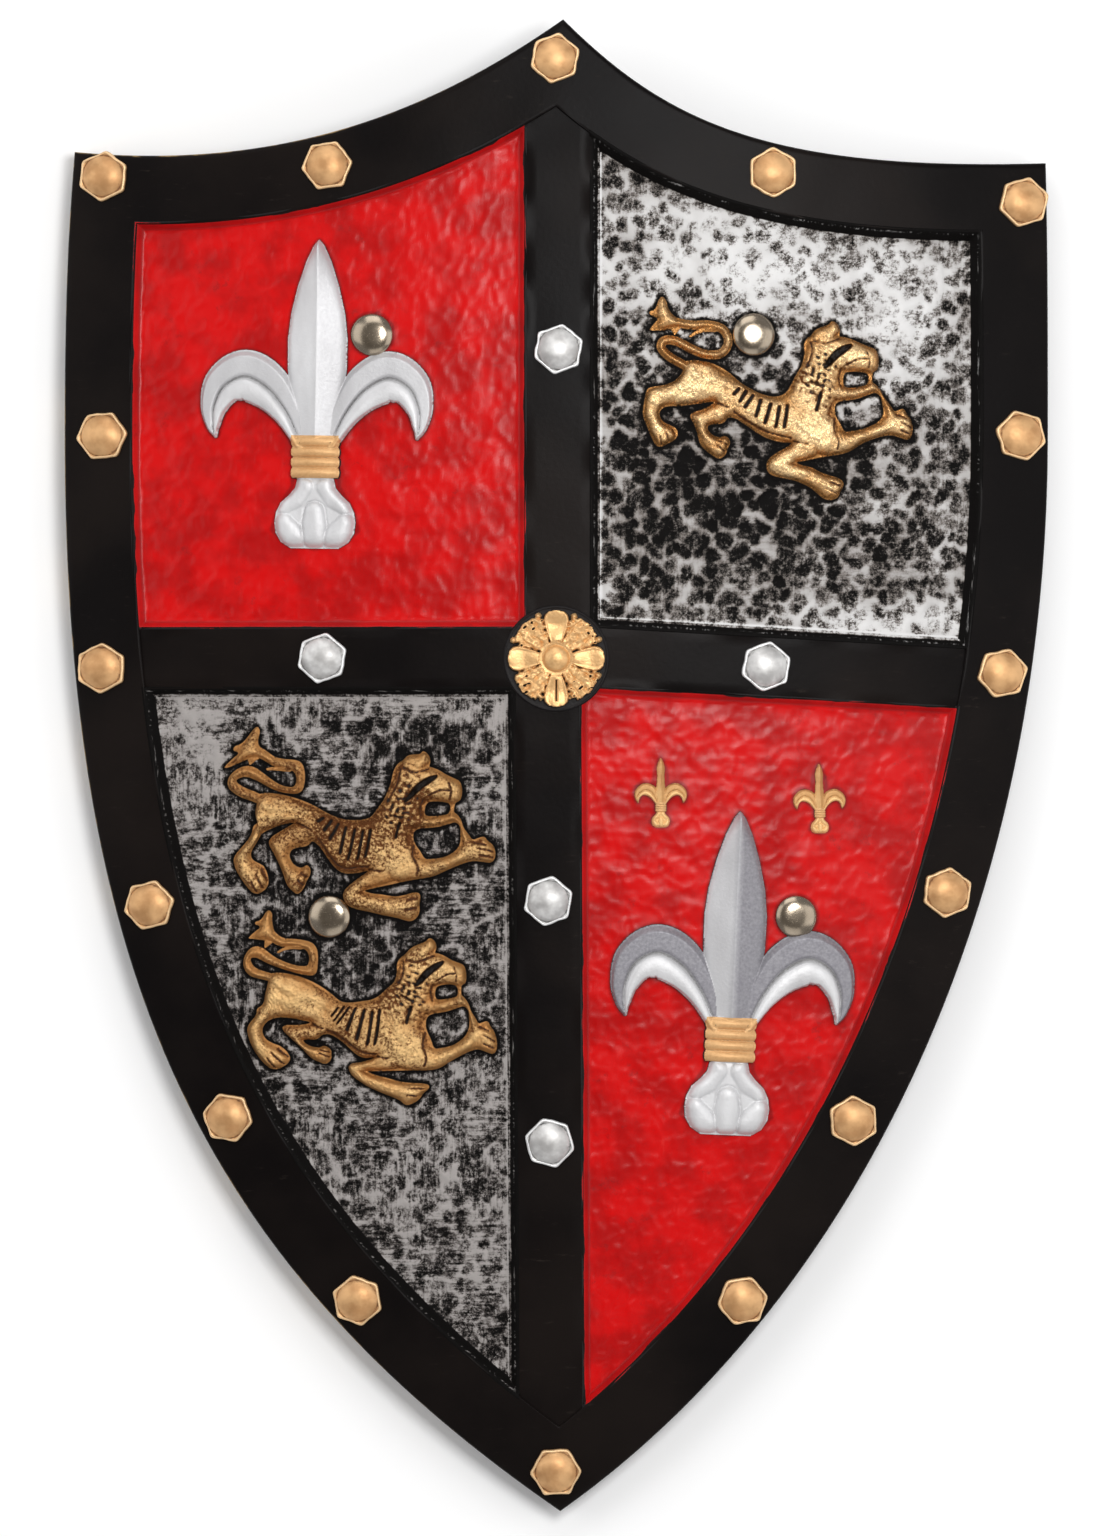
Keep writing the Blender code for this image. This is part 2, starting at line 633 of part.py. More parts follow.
def strap(name):
    """A strap behind the shield: two flat feet and a bow between them."""
    length, height, width, bow_depth = STRAPS[name]
    reach = length / 2 + STRAP_FOOT
    bow_half = length / 2 - STRAP_FOOT
    bm = bmesh.new()
    rings = []
    for k in range(STRAP_STEPS + 1):
        x = reach * (2 * k / STRAP_STEPS - 1)
        bow = bow_depth * (0.5 + 0.5 * math.cos(math.pi * min(abs(x) / bow_half, 1.0)))
        ring = []
        for side, level in ((-1, STRAP_TOP), (1, STRAP_TOP), (1, STRAP_UNDER), (-1, STRAP_UNDER)):
            place = (STRAPS_ASIDE + x, height + side * width / 2, level - bow)
            ring.append(bm.verts.new(place))
        rings.append(ring)
    for first, second in zip(rings, rings[1:]):
        for k in range(4):
            bm.faces.new((first[k - 1], first[k], second[k], second[k - 1]))
    bm.faces.new(rings[0])
    bm.faces.new(reversed(rings[-1]))
    bmesh.ops.recalc_face_normals(bm, faces=bm.faces[:])
    ends = [Vector((STRAPS_ASIDE + side * length / 2, height)) for side in (-1, 1)]
    return combined(bm, [], [rivet_bore(end, STRAP_TOP + FIGURE_SINK) for end in ends])


def settle(objects):
    """Move every mesh alike, so that the shield's box stands on the origin by its bottom centre."""
    corners = [vert.co for item in objects for vert in item.data.vertices]
    low = Vector(min(c[axis] for c in corners) for axis in range(3))
    high = Vector(max(c[axis] for c in corners) for axis in range(3))
    offset = Vector(((low.x + high.x) / 2, (low.y + high.y) / 2, low.z))
    for item in objects:
        for vert in item.data.vertices:
            vert.co -= offset


for old in bpy.data.objects[:]:
    bpy.data.objects.remove(old)

black_foam = material("black foam skin", (0.012, 0.010, 0.009), 0.42, 0.0)
black_webbing = material("black webbing", (0.015, 0.015, 0.016), 0.80, 0.0)
bright_steel = material("nickelled steel", (0.62, 0.58, 0.52), 0.22, 1.0)

relief = [raised_cross()] + studs() + rosette(CROSS_CENTRE) + figures()
sunk = combined(plate(), [], [field_cutter()])
moulding = combined(sunk, relief, [rivet_seat(centre) for centre in RIVETS.values()])
cut_to_cells(moulding)

pieces = [add_object("shield_body", moulding, black_foam)]
for strap_name in STRAPS:
    pieces.append(add_object(strap_name, strap(strap_name), black_webbing))
for rivet_name, centre in RIVETS.items():
    pieces.append(add_object(rivet_name, rivet(centre), bright_steel))
settle(pieces)
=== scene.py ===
"""A knight's costume shield lying on its back: painted foam relief, cap rivets and webbing straps."""

import json

import bmesh
import bpy
import numpy as np
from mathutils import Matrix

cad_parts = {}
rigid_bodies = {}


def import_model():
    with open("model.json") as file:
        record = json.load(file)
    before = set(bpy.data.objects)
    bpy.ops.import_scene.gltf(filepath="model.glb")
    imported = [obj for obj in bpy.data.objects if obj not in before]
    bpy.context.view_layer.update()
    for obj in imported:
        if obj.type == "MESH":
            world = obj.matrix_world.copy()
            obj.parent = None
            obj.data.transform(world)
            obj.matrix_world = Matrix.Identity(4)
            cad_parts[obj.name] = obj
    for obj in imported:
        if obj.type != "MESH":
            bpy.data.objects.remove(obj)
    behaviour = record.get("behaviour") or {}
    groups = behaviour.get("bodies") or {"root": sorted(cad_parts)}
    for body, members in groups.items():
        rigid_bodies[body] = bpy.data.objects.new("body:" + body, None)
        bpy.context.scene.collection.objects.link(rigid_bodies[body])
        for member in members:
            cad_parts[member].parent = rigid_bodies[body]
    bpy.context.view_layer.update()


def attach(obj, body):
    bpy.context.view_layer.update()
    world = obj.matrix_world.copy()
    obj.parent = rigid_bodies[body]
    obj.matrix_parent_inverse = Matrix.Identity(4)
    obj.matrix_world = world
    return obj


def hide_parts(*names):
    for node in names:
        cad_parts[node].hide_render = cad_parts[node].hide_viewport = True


for old in bpy.data.objects[:]:
    bpy.data.objects.remove(old)
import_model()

# Moulding: one foam casting with a black latex skin, cast face down in a mould. Its border is
# satin black with faint scuffs, and tan foam shows where the outer left edge has rubbed.
WIDTH, LENGTH, THICKNESS = 0.3504, 0.5300, 0.0122
BORDER, RIM, EDGE, WALL = 0.0247, 0.0016, 0.0005, 0.0028
PANEL, ARM, HIDDEN = -0.0032, -0.0010, -0.0046
CAMBER_ACROSS, CAMBER_ALONG, CREST = 0.6139008, 2.3818034, 0.100
SETTLE = (-0.0002547, -0.0000659, 0.0400280)
HALF = np.array([WIDTH / 2, LENGTH / 2])
CURVES = (
    ((0.014, 1.0), (-0.238, 0.883), (-0.541, 0.795), (-0.980, 0.826)),
    ((-0.980, 0.826), (-0.990, 0.740), (-1.0, 0.660), (-1.0, 0.446)),
    ((-1.0, 0.446), (-1.0, -0.283), (-0.723, -0.665), (0.008, -1.0)),
    ((0.008, -1.0), (0.591, -0.727), (1.0, -0.206), (1.0, 0.446)),
    ((1.0, 0.446), (1.0, 0.604), (1.0, 0.700), (0.996, 0.811)),
    ((0.996, 0.811), (0.417, 0.795), (0.216, 0.867), (0.014, 1.0)),
)


def bezier(curve, shares):
    """Points on a cubic curve: its four corners weighted by (1-t)^3, 3t(1-t)^2, 3t^2(1-t) and t^3."""
    t = np.asarray(shares, float)[:, None]
    weights = ((1 - t) ** 3, 3 * t * (1 - t) ** 2, 3 * t * t * (1 - t), t ** 3)
    return sum(weight * HALF * corner for weight, corner in zip(weights, np.array(curve)))


def inward(side, distance):
    """A line of points moved to its left, each along the normal of the tangent there."""
    along = np.gradient(side, axis=0)
    normal = np.stack([-along[:, 1], along[:, 0]], -1)
    return side + distance * normal / np.linalg.norm(normal, axis=1, keepdims=True)


def meet(first, second):
    """Where two lines cross, as places along both: steps p+tr and q+us meet where t and u are 0 to 1."""
    p, r = first[:-1, None], np.diff(first, axis=0)[:, None]
    q, s = second[None, :-1], np.diff(second, axis=0)[None]
    gap = q - p
    across = r[..., 0] * s[..., 1] - r[..., 1] * s[..., 0] + 1e-30
    t = (gap[..., 0] * s[..., 1] - gap[..., 1] * s[..., 0]) / across
    u = (gap[..., 0] * r[..., 1] - gap[..., 1] * r[..., 0]) / across
    i, j = np.argwhere((t >= 0) & (t <= 1) & (u >= 0) & (u <= 1))[-1]
    return i + t[i, j], j + u[i, j]


def part(line, start, end):
    """The stretch of a line between two places along it."""
    places = np.r_[start, np.arange(np.floor(start) + 1, np.ceil(end)), end]
    return np.stack([np.interp(places, np.arange(len(line)), line[:, k]) for k in (0, 1)], -1)


def along(line, shares):
    """Points at shares of a line's length."""
    run = np.r_[0, np.cumsum(np.linalg.norm(np.diff(line, axis=0), axis=1))]
    return np.stack([np.interp(np.asarray(shares) * run[-1], run, line[:, k]) for k in (0, 1)], -1)


STEPS = [bezier(curve, np.linspace(0, 1, 300)) for curve in CURVES]
LEFT_SIDE = np.concatenate([STEPS[1], STEPS[2][1:]])
RIGHT_SIDE = np.concatenate([STEPS[3], STEPS[4][1:]])
SIDES = (STEPS[0], LEFT_SIDE, RIGHT_SIDE, STEPS[5])


def mitred(inset):
    """The outline's four sides moved in and cut off where they cross."""
    if inset <= 0:
        return SIDES
    moved = [inward(side, inset) for side in SIDES]
    meets = [meet(moved[k - 1], moved[k]) for k in range(4)]
    return [part(moved[k], meets[k][1], meets[(k + 1) % 4][0]) for k in range(4)]


def on_camber(flat):
    """The flat layout on the camber: a foot drops by x²/2a + (y-c)²/2b, and a height is square to it."""
    x, y, height = flat[..., 0], flat[..., 1], flat[..., 2:3]
    rise = y - CREST
    foot = np.stack([x, y, -x ** 2 / (2 * CAMBER_ACROSS) - rise ** 2 / (2 * CAMBER_ALONG)], -1)
    normal = np.stack([x / CAMBER_ACROSS, rise / CAMBER_ALONG, np.ones_like(x)], -1)
    return foot + height * normal / np.linalg.norm(normal, axis=-1, keepdims=True) + np.array(SETTLE)


def ripple(places, size, seed, terms=16):
    """A smooth random surface of about unit size: sine waves of about one length in random directions."""
    random = np.random.default_rng(seed)
    turn, phase = random.uniform(0, 2 * np.pi, (2, terms))
    pitch = 2 * np.pi / (size * random.uniform(0.7, 1.5, terms))
    x, y = places[..., 0, None], places[..., 1, None]
    return np.sin(pitch * (x * np.cos(turn) + y * np.sin(turn)) + phase).sum(-1) / np.sqrt(terms / 2)


def lofted(loops, first=0):
    """Closed rings of points joined one after another and drawn together to a point at both ends."""
    rows, columns = loops.shape[:2]
    index = first + np.arange(rows * columns).reshape(rows, columns)
    after = np.roll(index, -1, axis=1)
    ends = first + rows * columns
    places = np.concatenate([loops.reshape(rows * columns, -1), loops[[0, -1]].mean(1)])
    quads = np.stack([index[:-1], after[:-1], after[1:], index[1:]], -1).reshape(-1, 4)
    fans = np.concatenate([
        np.stack([after[0], index[0], np.full(columns, ends)], -1),
        np.stack([index[-1], after[-1], np.full(columns, ends + 1)], -1),
    ])
    return places, quads, fans


def build(name, slot, places, faces, finish, nodes=("shield_body",), **values):
    """An object from points in the flat layout, groups of faces and named values for its points."""
    mesh = bpy.data.meshes.new(name)
    mesh.vertices.add(len(places))
    mesh.vertices.foreach_set("co", on_camber(places[:, :3]).ravel())
    sizes = np.concatenate([np.full(len(group), group.shape[1]) for group in faces])
    mesh.loops.add(int(sizes.sum()))
    corners = np.concatenate([group.ravel() for group in faces])
    mesh.loops.foreach_set("vertex_index", corners.astype(np.int32))
    mesh.polygons.add(len(sizes))
    mesh.polygons.foreach_set("loop_start", np.r_[0, np.cumsum(sizes)[:-1]].astype(np.int32))
    mesh.update(calc_edges=True)
    for key, numbers in values.items():
        mesh.attributes.new(key, "FLOAT", "POINT").data.foreach_set("value", numbers.astype(np.float32))
    shell = bmesh.new()
    shell.from_mesh(mesh)
    bmesh.ops.recalc_face_normals(shell, faces=shell.faces[:])
    shell.to_mesh(mesh)
    shell.free()
    mesh.shade_smooth()
    mesh.materials.append(finish.material)
    item = bpy.data.objects.new(name, mesh)
    bpy.context.scene.collection.objects.link(item)
    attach(item, "root")
    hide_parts(*nodes)
    return item


def colour(red, green, blue):
    """A screen colour of 0 to 255 as the light it stands for: ((c+0.055)/1.055)^2.4."""
    light = ((np.array([red, green, blue]) / 255 + 0.055) / 1.055) ** 2.4
    return (*light.tolist(), 1.0)


class Wire:
    """A node's socket that adds, multiplies and compares as a number does."""

    def __init__(self, tree, socket):
        self.tree = tree
        self.socket = socket

    def node(self, kind, inputs, output=0, **settings):
        """Any other node: its inputs by name or place, wired or set."""
        made = self.tree.nodes.new("ShaderNode" + kind)
        for setting, choice in settings.items():
            setattr(made, setting, choice)
        for place, value in inputs.items():
            if isinstance(value, Wire):
                self.tree.links.new(value.socket, made.inputs[place])
            else:
                made.inputs[place].default_value = value
        return Wire(self.tree, made.outputs[output])

    def math(self, operation, *values):
        return self.node("Math", dict(enumerate(values)), operation=operation)

    def __add__(self, other):
        return self.math("ADD", self, other)

    def __sub__(self, other):
        return self.math("SUBTRACT", self, other)

    def __rsub__(self, other):
        return self.math("SUBTRACT", other, self)

    def __mul__(self, other):
        return self.math("MULTIPLY", self, other)

    __radd__ = __add__
    __rmul__ = __mul__

    def least(self, other):
        return self.math("MINIMUM", self, other)

    def most(self, other):
        return self.math("MAXIMUM", self, other)

    def ramp(self, low, high):
        """0 up to low, 1 from high, and an even curve between, falling where low is the higher."""
        return self.node("MapRange", {"Value": self, "From Min": low, "From Max": high},
                         interpolation_type="SMOOTHSTEP")

    def blend(self, first, second):
        """The colour that this share of the way leads from the first to the second."""
        return self.node("Mix", {0: self, 6: first, 7: second}, output=2, data_type="RGBA")


class Finish(Wire):
    """A material: the object's coordinates as a socket, and the shader that is painted with the rest."""

    def __init__(self, name, **constants):
        self.material = bpy.data.materials.new(name)
        self.material.use_nodes = True
        tree = self.material.node_tree
        self.shader = tree.nodes["Principled BSDF"]
        super().__init__(tree, tree.nodes.new("ShaderNodeTexCoord").outputs["Object"])
        for key, value in constants.items():
            self.shader.inputs[key.replace("_", " ")].default_value = value

    def noise(self, size, detail=2.0, stretch=(1, 1, 1), rough=0.5):
        """Noise with lumps of a size in metres, drawn out where stretch is under 1."""
        at = self.node("VectorMath", {0: self, 1: stretch}, operation="MULTIPLY")
        inputs = {"Vector": at, "Scale": 1 / size, "Detail": detail, "Roughness": rough}
        return self.node("TexNoise", inputs)

    def value(self, name):
        """A value that the mesh gives for each point."""
        return self.node("Attribute", {}, output="Fac", attribute_name=name)

    def place(self, axis):
        """One of the object's coordinates."""
        return self.node("SeparateXYZ", {0: self}, output=axis)

    def paint(self, socket, wire):
        self.tree.links.new(wire.socket, self.shader.inputs[socket])

    def bump(self, height, depth, strength=1.0):
        """Relief from a height of 0 to 1 that stands for a depth in metres."""
        self.paint("Normal", self.node("Bump", {"Strength": strength, "Distance": depth, "Height": height},
                                       output="Normal"))


quarter = np.radians(np.linspace(0, 90, 6))
counts = (130, 340, 340, 130)
profile = [(BORDER, HIDDEN, 0.3), (BORDER, HIDDEN, 0.7), (BORDER, HIDDEN, 1.0), (BORDER, -0.0014, 1.0)]
profile += [(BORDER - EDGE + EDGE * np.sin(a), -EDGE + EDGE * np.cos(a), 1.0) for a in quarter[::-1]]
profile += [(inset, 0.0, 1.0) for inset in np.linspace(BORDER - EDGE - 0.0008, RIM + 0.0008, 9)]
profile += [(0.0001 + RIM * (1 - np.sin(a)), -RIM * (1 - np.cos(a)), 1.0) for a in quarter]
profile += [(0.0001, height, 1.0) for height in (-0.0045, -0.0080, -0.0108)]
profile += [(0.0001 + 0.0012 * (1 - np.cos(a)), -0.0110 - 0.0012 * np.sin(a), 1.0) for a in quarter[1:]]
profile += [(0.0050, -THICKNESS, 1.0), (0.0150, -THICKNESS, 1.0), (0.0250, -THICKNESS, 0.97)]
profile += [(0.0250, -THICKNESS, scale) for scale in (0.82, 0.66, 0.50, 0.34, 0.18, 0.04)]
loops = []
for inset, height, scale in profile:
    loop = np.concatenate([along(side, np.arange(n) / n) for side, n in zip(mitred(inset), counts)])
    loop = loop * scale + (1 - scale) * np.array([0.0, 0.04])
    face = float(height == 0.0)
    height = height + face * 0.00006 * ripple(loop, 0.030, 3)
    loops.append(np.column_stack([loop, height, np.full(len(loop), inset * 1000 + 10 * (scale < 1))]))
places, *faces = lofted(np.array(loops))

skin = Finish("black latex skin", **{"Specular IOR Level": 0.06})
drift = skin.noise(0.060, 4.0)
scuffs = (skin.noise(0.0032, 6.0, (0.35, 1.6, 1), 0.7)).ramp(0.60, 0.78) * skin.noise(0.05).ramp(0.42, 0.62)
worn = (skin.value("inset") + skin.noise(0.008, 4.0) * 1.2).ramp(1.35, 0.75)
worn = worn * skin.place("X").ramp(-0.02, -0.09)
worn = worn * (skin.noise(0.022, 5.0, rough=0.7)).ramp(0.47, 0.56)
black = drift.ramp(0.35, 0.7).blend(colour(11, 8, 8), colour(23, 18, 16))
black = (scuffs * 0.4).blend(black, colour(66, 58, 52))
skin.paint("Base Color", (worn * 0.85).blend(black, colour(171, 142, 96)))
skin.paint("Roughness", drift * 0.10 + scuffs * 0.12 + worn * 0.3 + 0.32)
skin.bump(skin.noise(0.0018, 5.0) * 0.7 + skin.noise(0.0004, 2.0) * 0.3, 0.00006)
build("moulding", "painted_foam", places, faces, skin, inset=places[:, 3])

# Cross: four raised bars cast in one with the border and a millimetre lower. Each is the same
# black skin, with soft edges that run down beside the quarters.
CENTRE = np.array([0.0, 0.0384])
ARMS = {"upper": (90.0, -0.0007, 0.0245), "left": (180.0, -0.0002, 0.0225),
        "lower": (270.3, -0.0033, 0.0245), "right": (-3.2, 0.0014, 0.0225)}


def bar(name, aside=0.0, reach=0.6):
    """A bar's line moved to its left: the middle of the cross plus a run along its heading."""
    angle, shift, _ = ARMS[name]
    heading = np.array([np.cos(np.radians(angle)), np.sin(np.radians(angle))])
    left = np.array([-heading[1], heading[0]])
    return CENTRE + (shift + aside) * left + np.linspace(-0.05, reach, 2)[:, None] * heading


middle = mitred(BORDER / 2)
ring = np.concatenate([*middle, middle[0][:1]])
places, faces, first = [], [[], []], 0
for name, (angle, shift, width) in ARMS.items():
    line = bar(name)
    end = part(line, 0.0, meet(line, ring)[0])
    start = line[0] + (line[1] - line[0]) * 0.05 / 0.65
    path = along(np.array([start, end[-1]]), np.linspace(0, 1, 160))
    heading = (path[-1] - path[0]) / np.linalg.norm(path[-1] - path[0])
    half = width / 2
    cut = [(-half, HIDDEN), (-half, ARM - 0.0016)]
    cut += [(-half + EDGE * (1 - np.cos(a)), ARM - EDGE * (1 - np.sin(a))) for a in quarter]
    cut += [(share * half, ARM) for share in (-0.6, -0.2, 0.2, 0.6)]
    cut += [(half - EDGE * (1 - np.cos(a)), ARM - EDGE * (1 - np.sin(a))) for a in quarter[::-1]]
    cut += [(half, ARM - 0.0016), (half, HIDDEN)]
    across, height = np.array(cut).T
    spots = path[:, None] + across[:, None] * np.array([-heading[1], heading[0]])
    level = height + (height == ARM) * 0.00006 * ripple(spots, 0.030, 5)
    loops = np.concatenate([spots, level[..., None], np.full((*level.shape, 1), 9.0)], -1)
    points, quads, fans = lofted(loops, first)
    places.append(points)
    faces[0].append(quads)
    faces[1].append(fans)
    first += len(points)
places = np.concatenate(places)
build("cross", "painted_foam", places, [np.concatenate(group) for group in faces], skin, inset=places[:, 3])

# Lions: three lions passant cast on the silver quarters, each with a raised forepaw and its tail
# looped over its back. Brushed gold over black, with brown left in the mane, ribs and paws. Their
# raised parts are painted lighter as painted highlights, and the two lower-left lions have duller
# paint that is also painted darker as painted shade.
LION_BODY = (
    (15.3, 50.2), (17.3, 51.1), (21.4, 50.9), (25.2, 50.2), (28.9, 48.7), (32.3, 46.4), (35.7, 43.2),
    (39.5, 40.8), (44, 38.6), (48.5, 37.6), (51.5, 38.2), (53.6, 39.8), (55.1, 42.5), (56.8, 45.9),
    (58.5, 48.5), (59.5, 51.1), (59.9, 54.1), (59.6, 57.1), (60.7, 59.2), (62.4, 60.3), (63.7, 62.3),
    (66.5, 63.5), (68.8, 64.2), (69.7, 65.6), (71.2, 65.3), (72.6, 63.5), (72.9, 61.7), (72.4, 60),
    (74.1, 59.8), (77.1, 59.1), (80.8, 57.3), (84.2, 56.1), (86.2, 55.2), (87.1, 53), (87.3, 50.4),
    (86.7, 47.8), (84.9, 47.1), (84.6, 43.2), (86.2, 42.4), (88, 40.2), (89.1, 37.6), (91.4, 35),
    (93, 32.3), (94.7, 33.1), (96.6, 33.7), (97.5, 31.6), (99, 29.9), (99.8, 26.9), (99.5, 23.6),
    (98, 22.1), (95.5, 22.9), (92.1, 24.1), (88.3, 23.5), (83.8, 22.1), (80.1, 20.3), (76.3, 17.7),
    (72.6, 16.7), (68, 16.1), (63.5, 15.2), (59, 14.3), (56.2, 13.7), (59, 12.6), (62.4, 11.9),
    (65.4, 10.2), (68.8, 9), (72.2, 8.1), (74.1, 6.8), (74.1, 4.9), (73, 3.2), (72.3, 1.1), (70.2, 0),
    (67.4, 0.2), (65.4, 1.7), (63.2, 3.8), (60.2, 5.6), (56.8, 7.1), (51.5, 8.1), (47.7, 9), (46, 10.7),
    (45.8, 13.2), (47, 15.4), (50.4, 17.7), (53.8, 19.5), (55.7, 21.1), (51.5, 21.1), (47.4, 22.1),
    (44, 23.6), (40.6, 25.9), (37.2, 28.2), (34.6, 29.9), (31.6, 30.5), (30.6, 28.7), (28.9, 27.8),
    (25.2, 27.8), (23.8, 26.7), (24.4, 25), (26.1, 23.5), (28.6, 22.6), (30.5, 23.5), (32, 22.4),
    (32.4, 20.5), (31.4, 18.9), (30.9, 16.9), (29.7, 15.5), (27.9, 15), (25.8, 16.4), (23.3, 18.3),
    (21.4, 20.3), (20.5, 24.1), (19.3, 27.7), (17.4, 30.7), (18.8, 32), (22.2, 32.9), (25.2, 34.4),
    (27, 36.1), (22.9, 35.7), (18.4, 34.9), (13.9, 34.4), (9.8, 34.4), (7.5, 33.7), (6.2, 32),
    (6.6, 29.9), (8, 28.2), (10.5, 27.1), (12.4, 26.3), (13.2, 24.7), (12.7, 22.7), (11.1, 21.4),
    (9.2, 20.5), (7.5, 19.5), (5.8, 19.4), (4.6, 20.6), (3, 24.1), (1.6, 27.7), (0.3, 30.7), (0.5, 34),
    (1.2, 37.6), (1.9, 40.9), (4.9, 41.4), (9, 42.1), (12, 43.4), (14.3, 45.5), (15.3, 47.7),
)
LION_MOUTH = (
    (83.5, 46.6), (80.1, 47.2), (75.4, 47.2), (74.2, 46), (74, 43.2), (74.7, 41.2), (77.8, 41.1),
    (81.6, 41.8), (83.5, 42.7),
)
LION_GAP = (
    (71.2, 35.3), (72.9, 36.4), (76.3, 36.7), (80.1, 37.4), (83.8, 38.9), (86.2, 39.7), (88.2, 38),
    (88.8, 34.6), (89.2, 32), (88, 29.3), (85, 27.4), (81.2, 25.9), (77.1, 25.2), (74.4, 24.8),
    (73.2, 27.8), (71.4, 30.5), (70.8, 33.1),
)
LION_TUFT = (
    (7.5, 74), (8.9, 72.2), (9.4, 69.5), (11.1, 67.1), (13.9, 65.4), (13.9, 63), (11.1, 62.4),
    (7.5, 61.7), (2.6, 61.7), (3.6, 63), (4.9, 64.5), (6, 65.4), (4.9, 66.5), (3.2, 67.1), (2.6, 68.4),
    (4.7, 68.8), (5.6, 70.7), (6.2, 72.6),
)
LION_SPUR = ((10.2, 62.8), (12, 60), (14.3, 62.8))
LION_TAIL = (
    (16.2, 48.9), (13.9, 50.2), (10.6, 52), (8.2, 54), (7, 55.9), (7.6, 57.7), (9.8, 58.4), (12.4, 58),
    (15.4, 56.7), (18.8, 55), (22.2, 53.6), (25.6, 53.1), (28.7, 53.5), (30.8, 55.3), (31.7, 57.9),
    (31.1, 60.7), (29.2, 62.8), (26.3, 63.8), (22.9, 64.1), (19.2, 63.8), (15.4, 64.1), (12, 64.7),
)
LION_CURL = ((26.7, 62.6), (23.3, 62.4), (20.3, 61.4), (17.8, 59.8))
LION_BULGES = {
    "haunch": (((14, 41), (20, 43), (27, 41)), (7.0, 9.0, 6.5), 0.95),
    "loin": (((27, 41), (34, 38), (42, 33)), (6.5, 6.5, 7.0), 0.80),
    "ribs": (((42, 33), (50, 30), (57, 29)), (7.0, 8.5, 9.0), 0.90),
    "shoulder": (((61, 27), (65.4, 24.1), (67, 22)), (8.0, 7.5, 5.5), 1.10),
    "neck": (((61, 36), (64, 43), (66, 50)), (8.5, 8.5, 7.5), 0.95),
    "head": (((67, 54), (74, 54), (80, 52), (86, 51)), (6.5, 6.0, 5.5, 4.5), 0.95),
    "jaw": (((71, 39.5), (78, 39.3), (85, 42)), (2.9, 2.4, 2.2), 0.70),
    "tongue": (((85, 42), (89, 38), (92.5, 32)), (2.4, 2.2, 2.4), 0.55),
    "ear": (((63, 60), (68, 61.5), (71, 63.5)), (3.0, 3.4, 2.4), 0.85),
    "raised": (((69, 20.5), (76, 21), (83, 24.5), (90, 27), (97, 27.5)), (5.0, 4.2, 3.6, 3.6, 6.0), 0.80),
    "standing": (((60, 21), (55, 18), (48.5, 13), (53, 10.5), (60, 9), (66, 5.5), (70.5, 4)),
                 (6.0, 5.0, 3.8, 3.0, 3.2, 4.4, 4.6), 0.80),
    "far": (((14, 41), (8, 38.3), (3.8, 37), (3.5, 31), (5, 26), (8, 23)),
            (6.0, 4.0, 3.6, 3.0, 3.6, 4.8), 0.78),
    "near": (((31, 33), (25, 30.5), (20.5, 29), (23, 23.5), (27, 19.5), (29, 20)),
             (4.5, 3.6, 3.2, 3.2, 4.2, 4.6), 0.72),
    "tail": (LION_TAIL, (1.6,) * 22, 0.50),
    "tuft": (((14, 64.4), (9, 65), (7.4, 73)), (1.6, 3.8, 1.4), 0.55),
}
LION_RIBS = (
    ((35.3, 40.6), (33.6, 38.7)), ((38.1, 39.7), (35.7, 36.1)), ((40.6, 38.2), (37.6, 34.0)),
    ((43.4, 36.5), (41.6, 30.7)), ((47.0, 35.0), (44.9, 28.2)), ((50.2, 34.0), (48.9, 26.9)),
    ((53.2, 34.4), (52.0, 26.7)), ((65.4, 39.1), (63.9, 33.1)),
)
LION_CREASES = (
    ((33.5, 32.3), (44.0, 25.6), (54.5, 22.6)), ((27.0, 35.6), (31.5, 33.8)),
    ((55.5, 21.5), (60.5, 20.5)), ((71, 30), (70.4, 26), (72, 22), (71.6, 18.6)),
    ((93.5, 31.5), (97.0, 30.0)), ((95.0, 28.6), (99.0, 26.6)), ((95.0, 25.6), (98.6, 24.2)),
    ((69.0, 6.6), (72.8, 5.2)), ((67.4, 4.2), (71.4, 2.4)), ((8.6, 24.8), (9.8, 21.4)),
    ((6.4, 23.2), (7.0, 20.2)), ((11.2, 25.6), (12.4, 23.2)), ((27.4, 20.0), (30.4, 17.6)),
    ((28.4, 21.6), (31.6, 19.8)), ((75, 49.6), (79, 51.6), (83, 51.8)),
    ((82.2, 54.6), (83.4, 51.6), (83.0, 48.6)), ((62.8, 58.2), (67.2, 57.4), (72.6, 59.2)),
    ((60.4, 48.6), (62.2, 53.4), (62.0, 57.6)), ((73.2, 41.4), (72.4, 44.8), (73.0, 48.0)),
)
LION_EYE = ((67.0, 48.6), (71.4, 53.6), (76.6, 56.7))
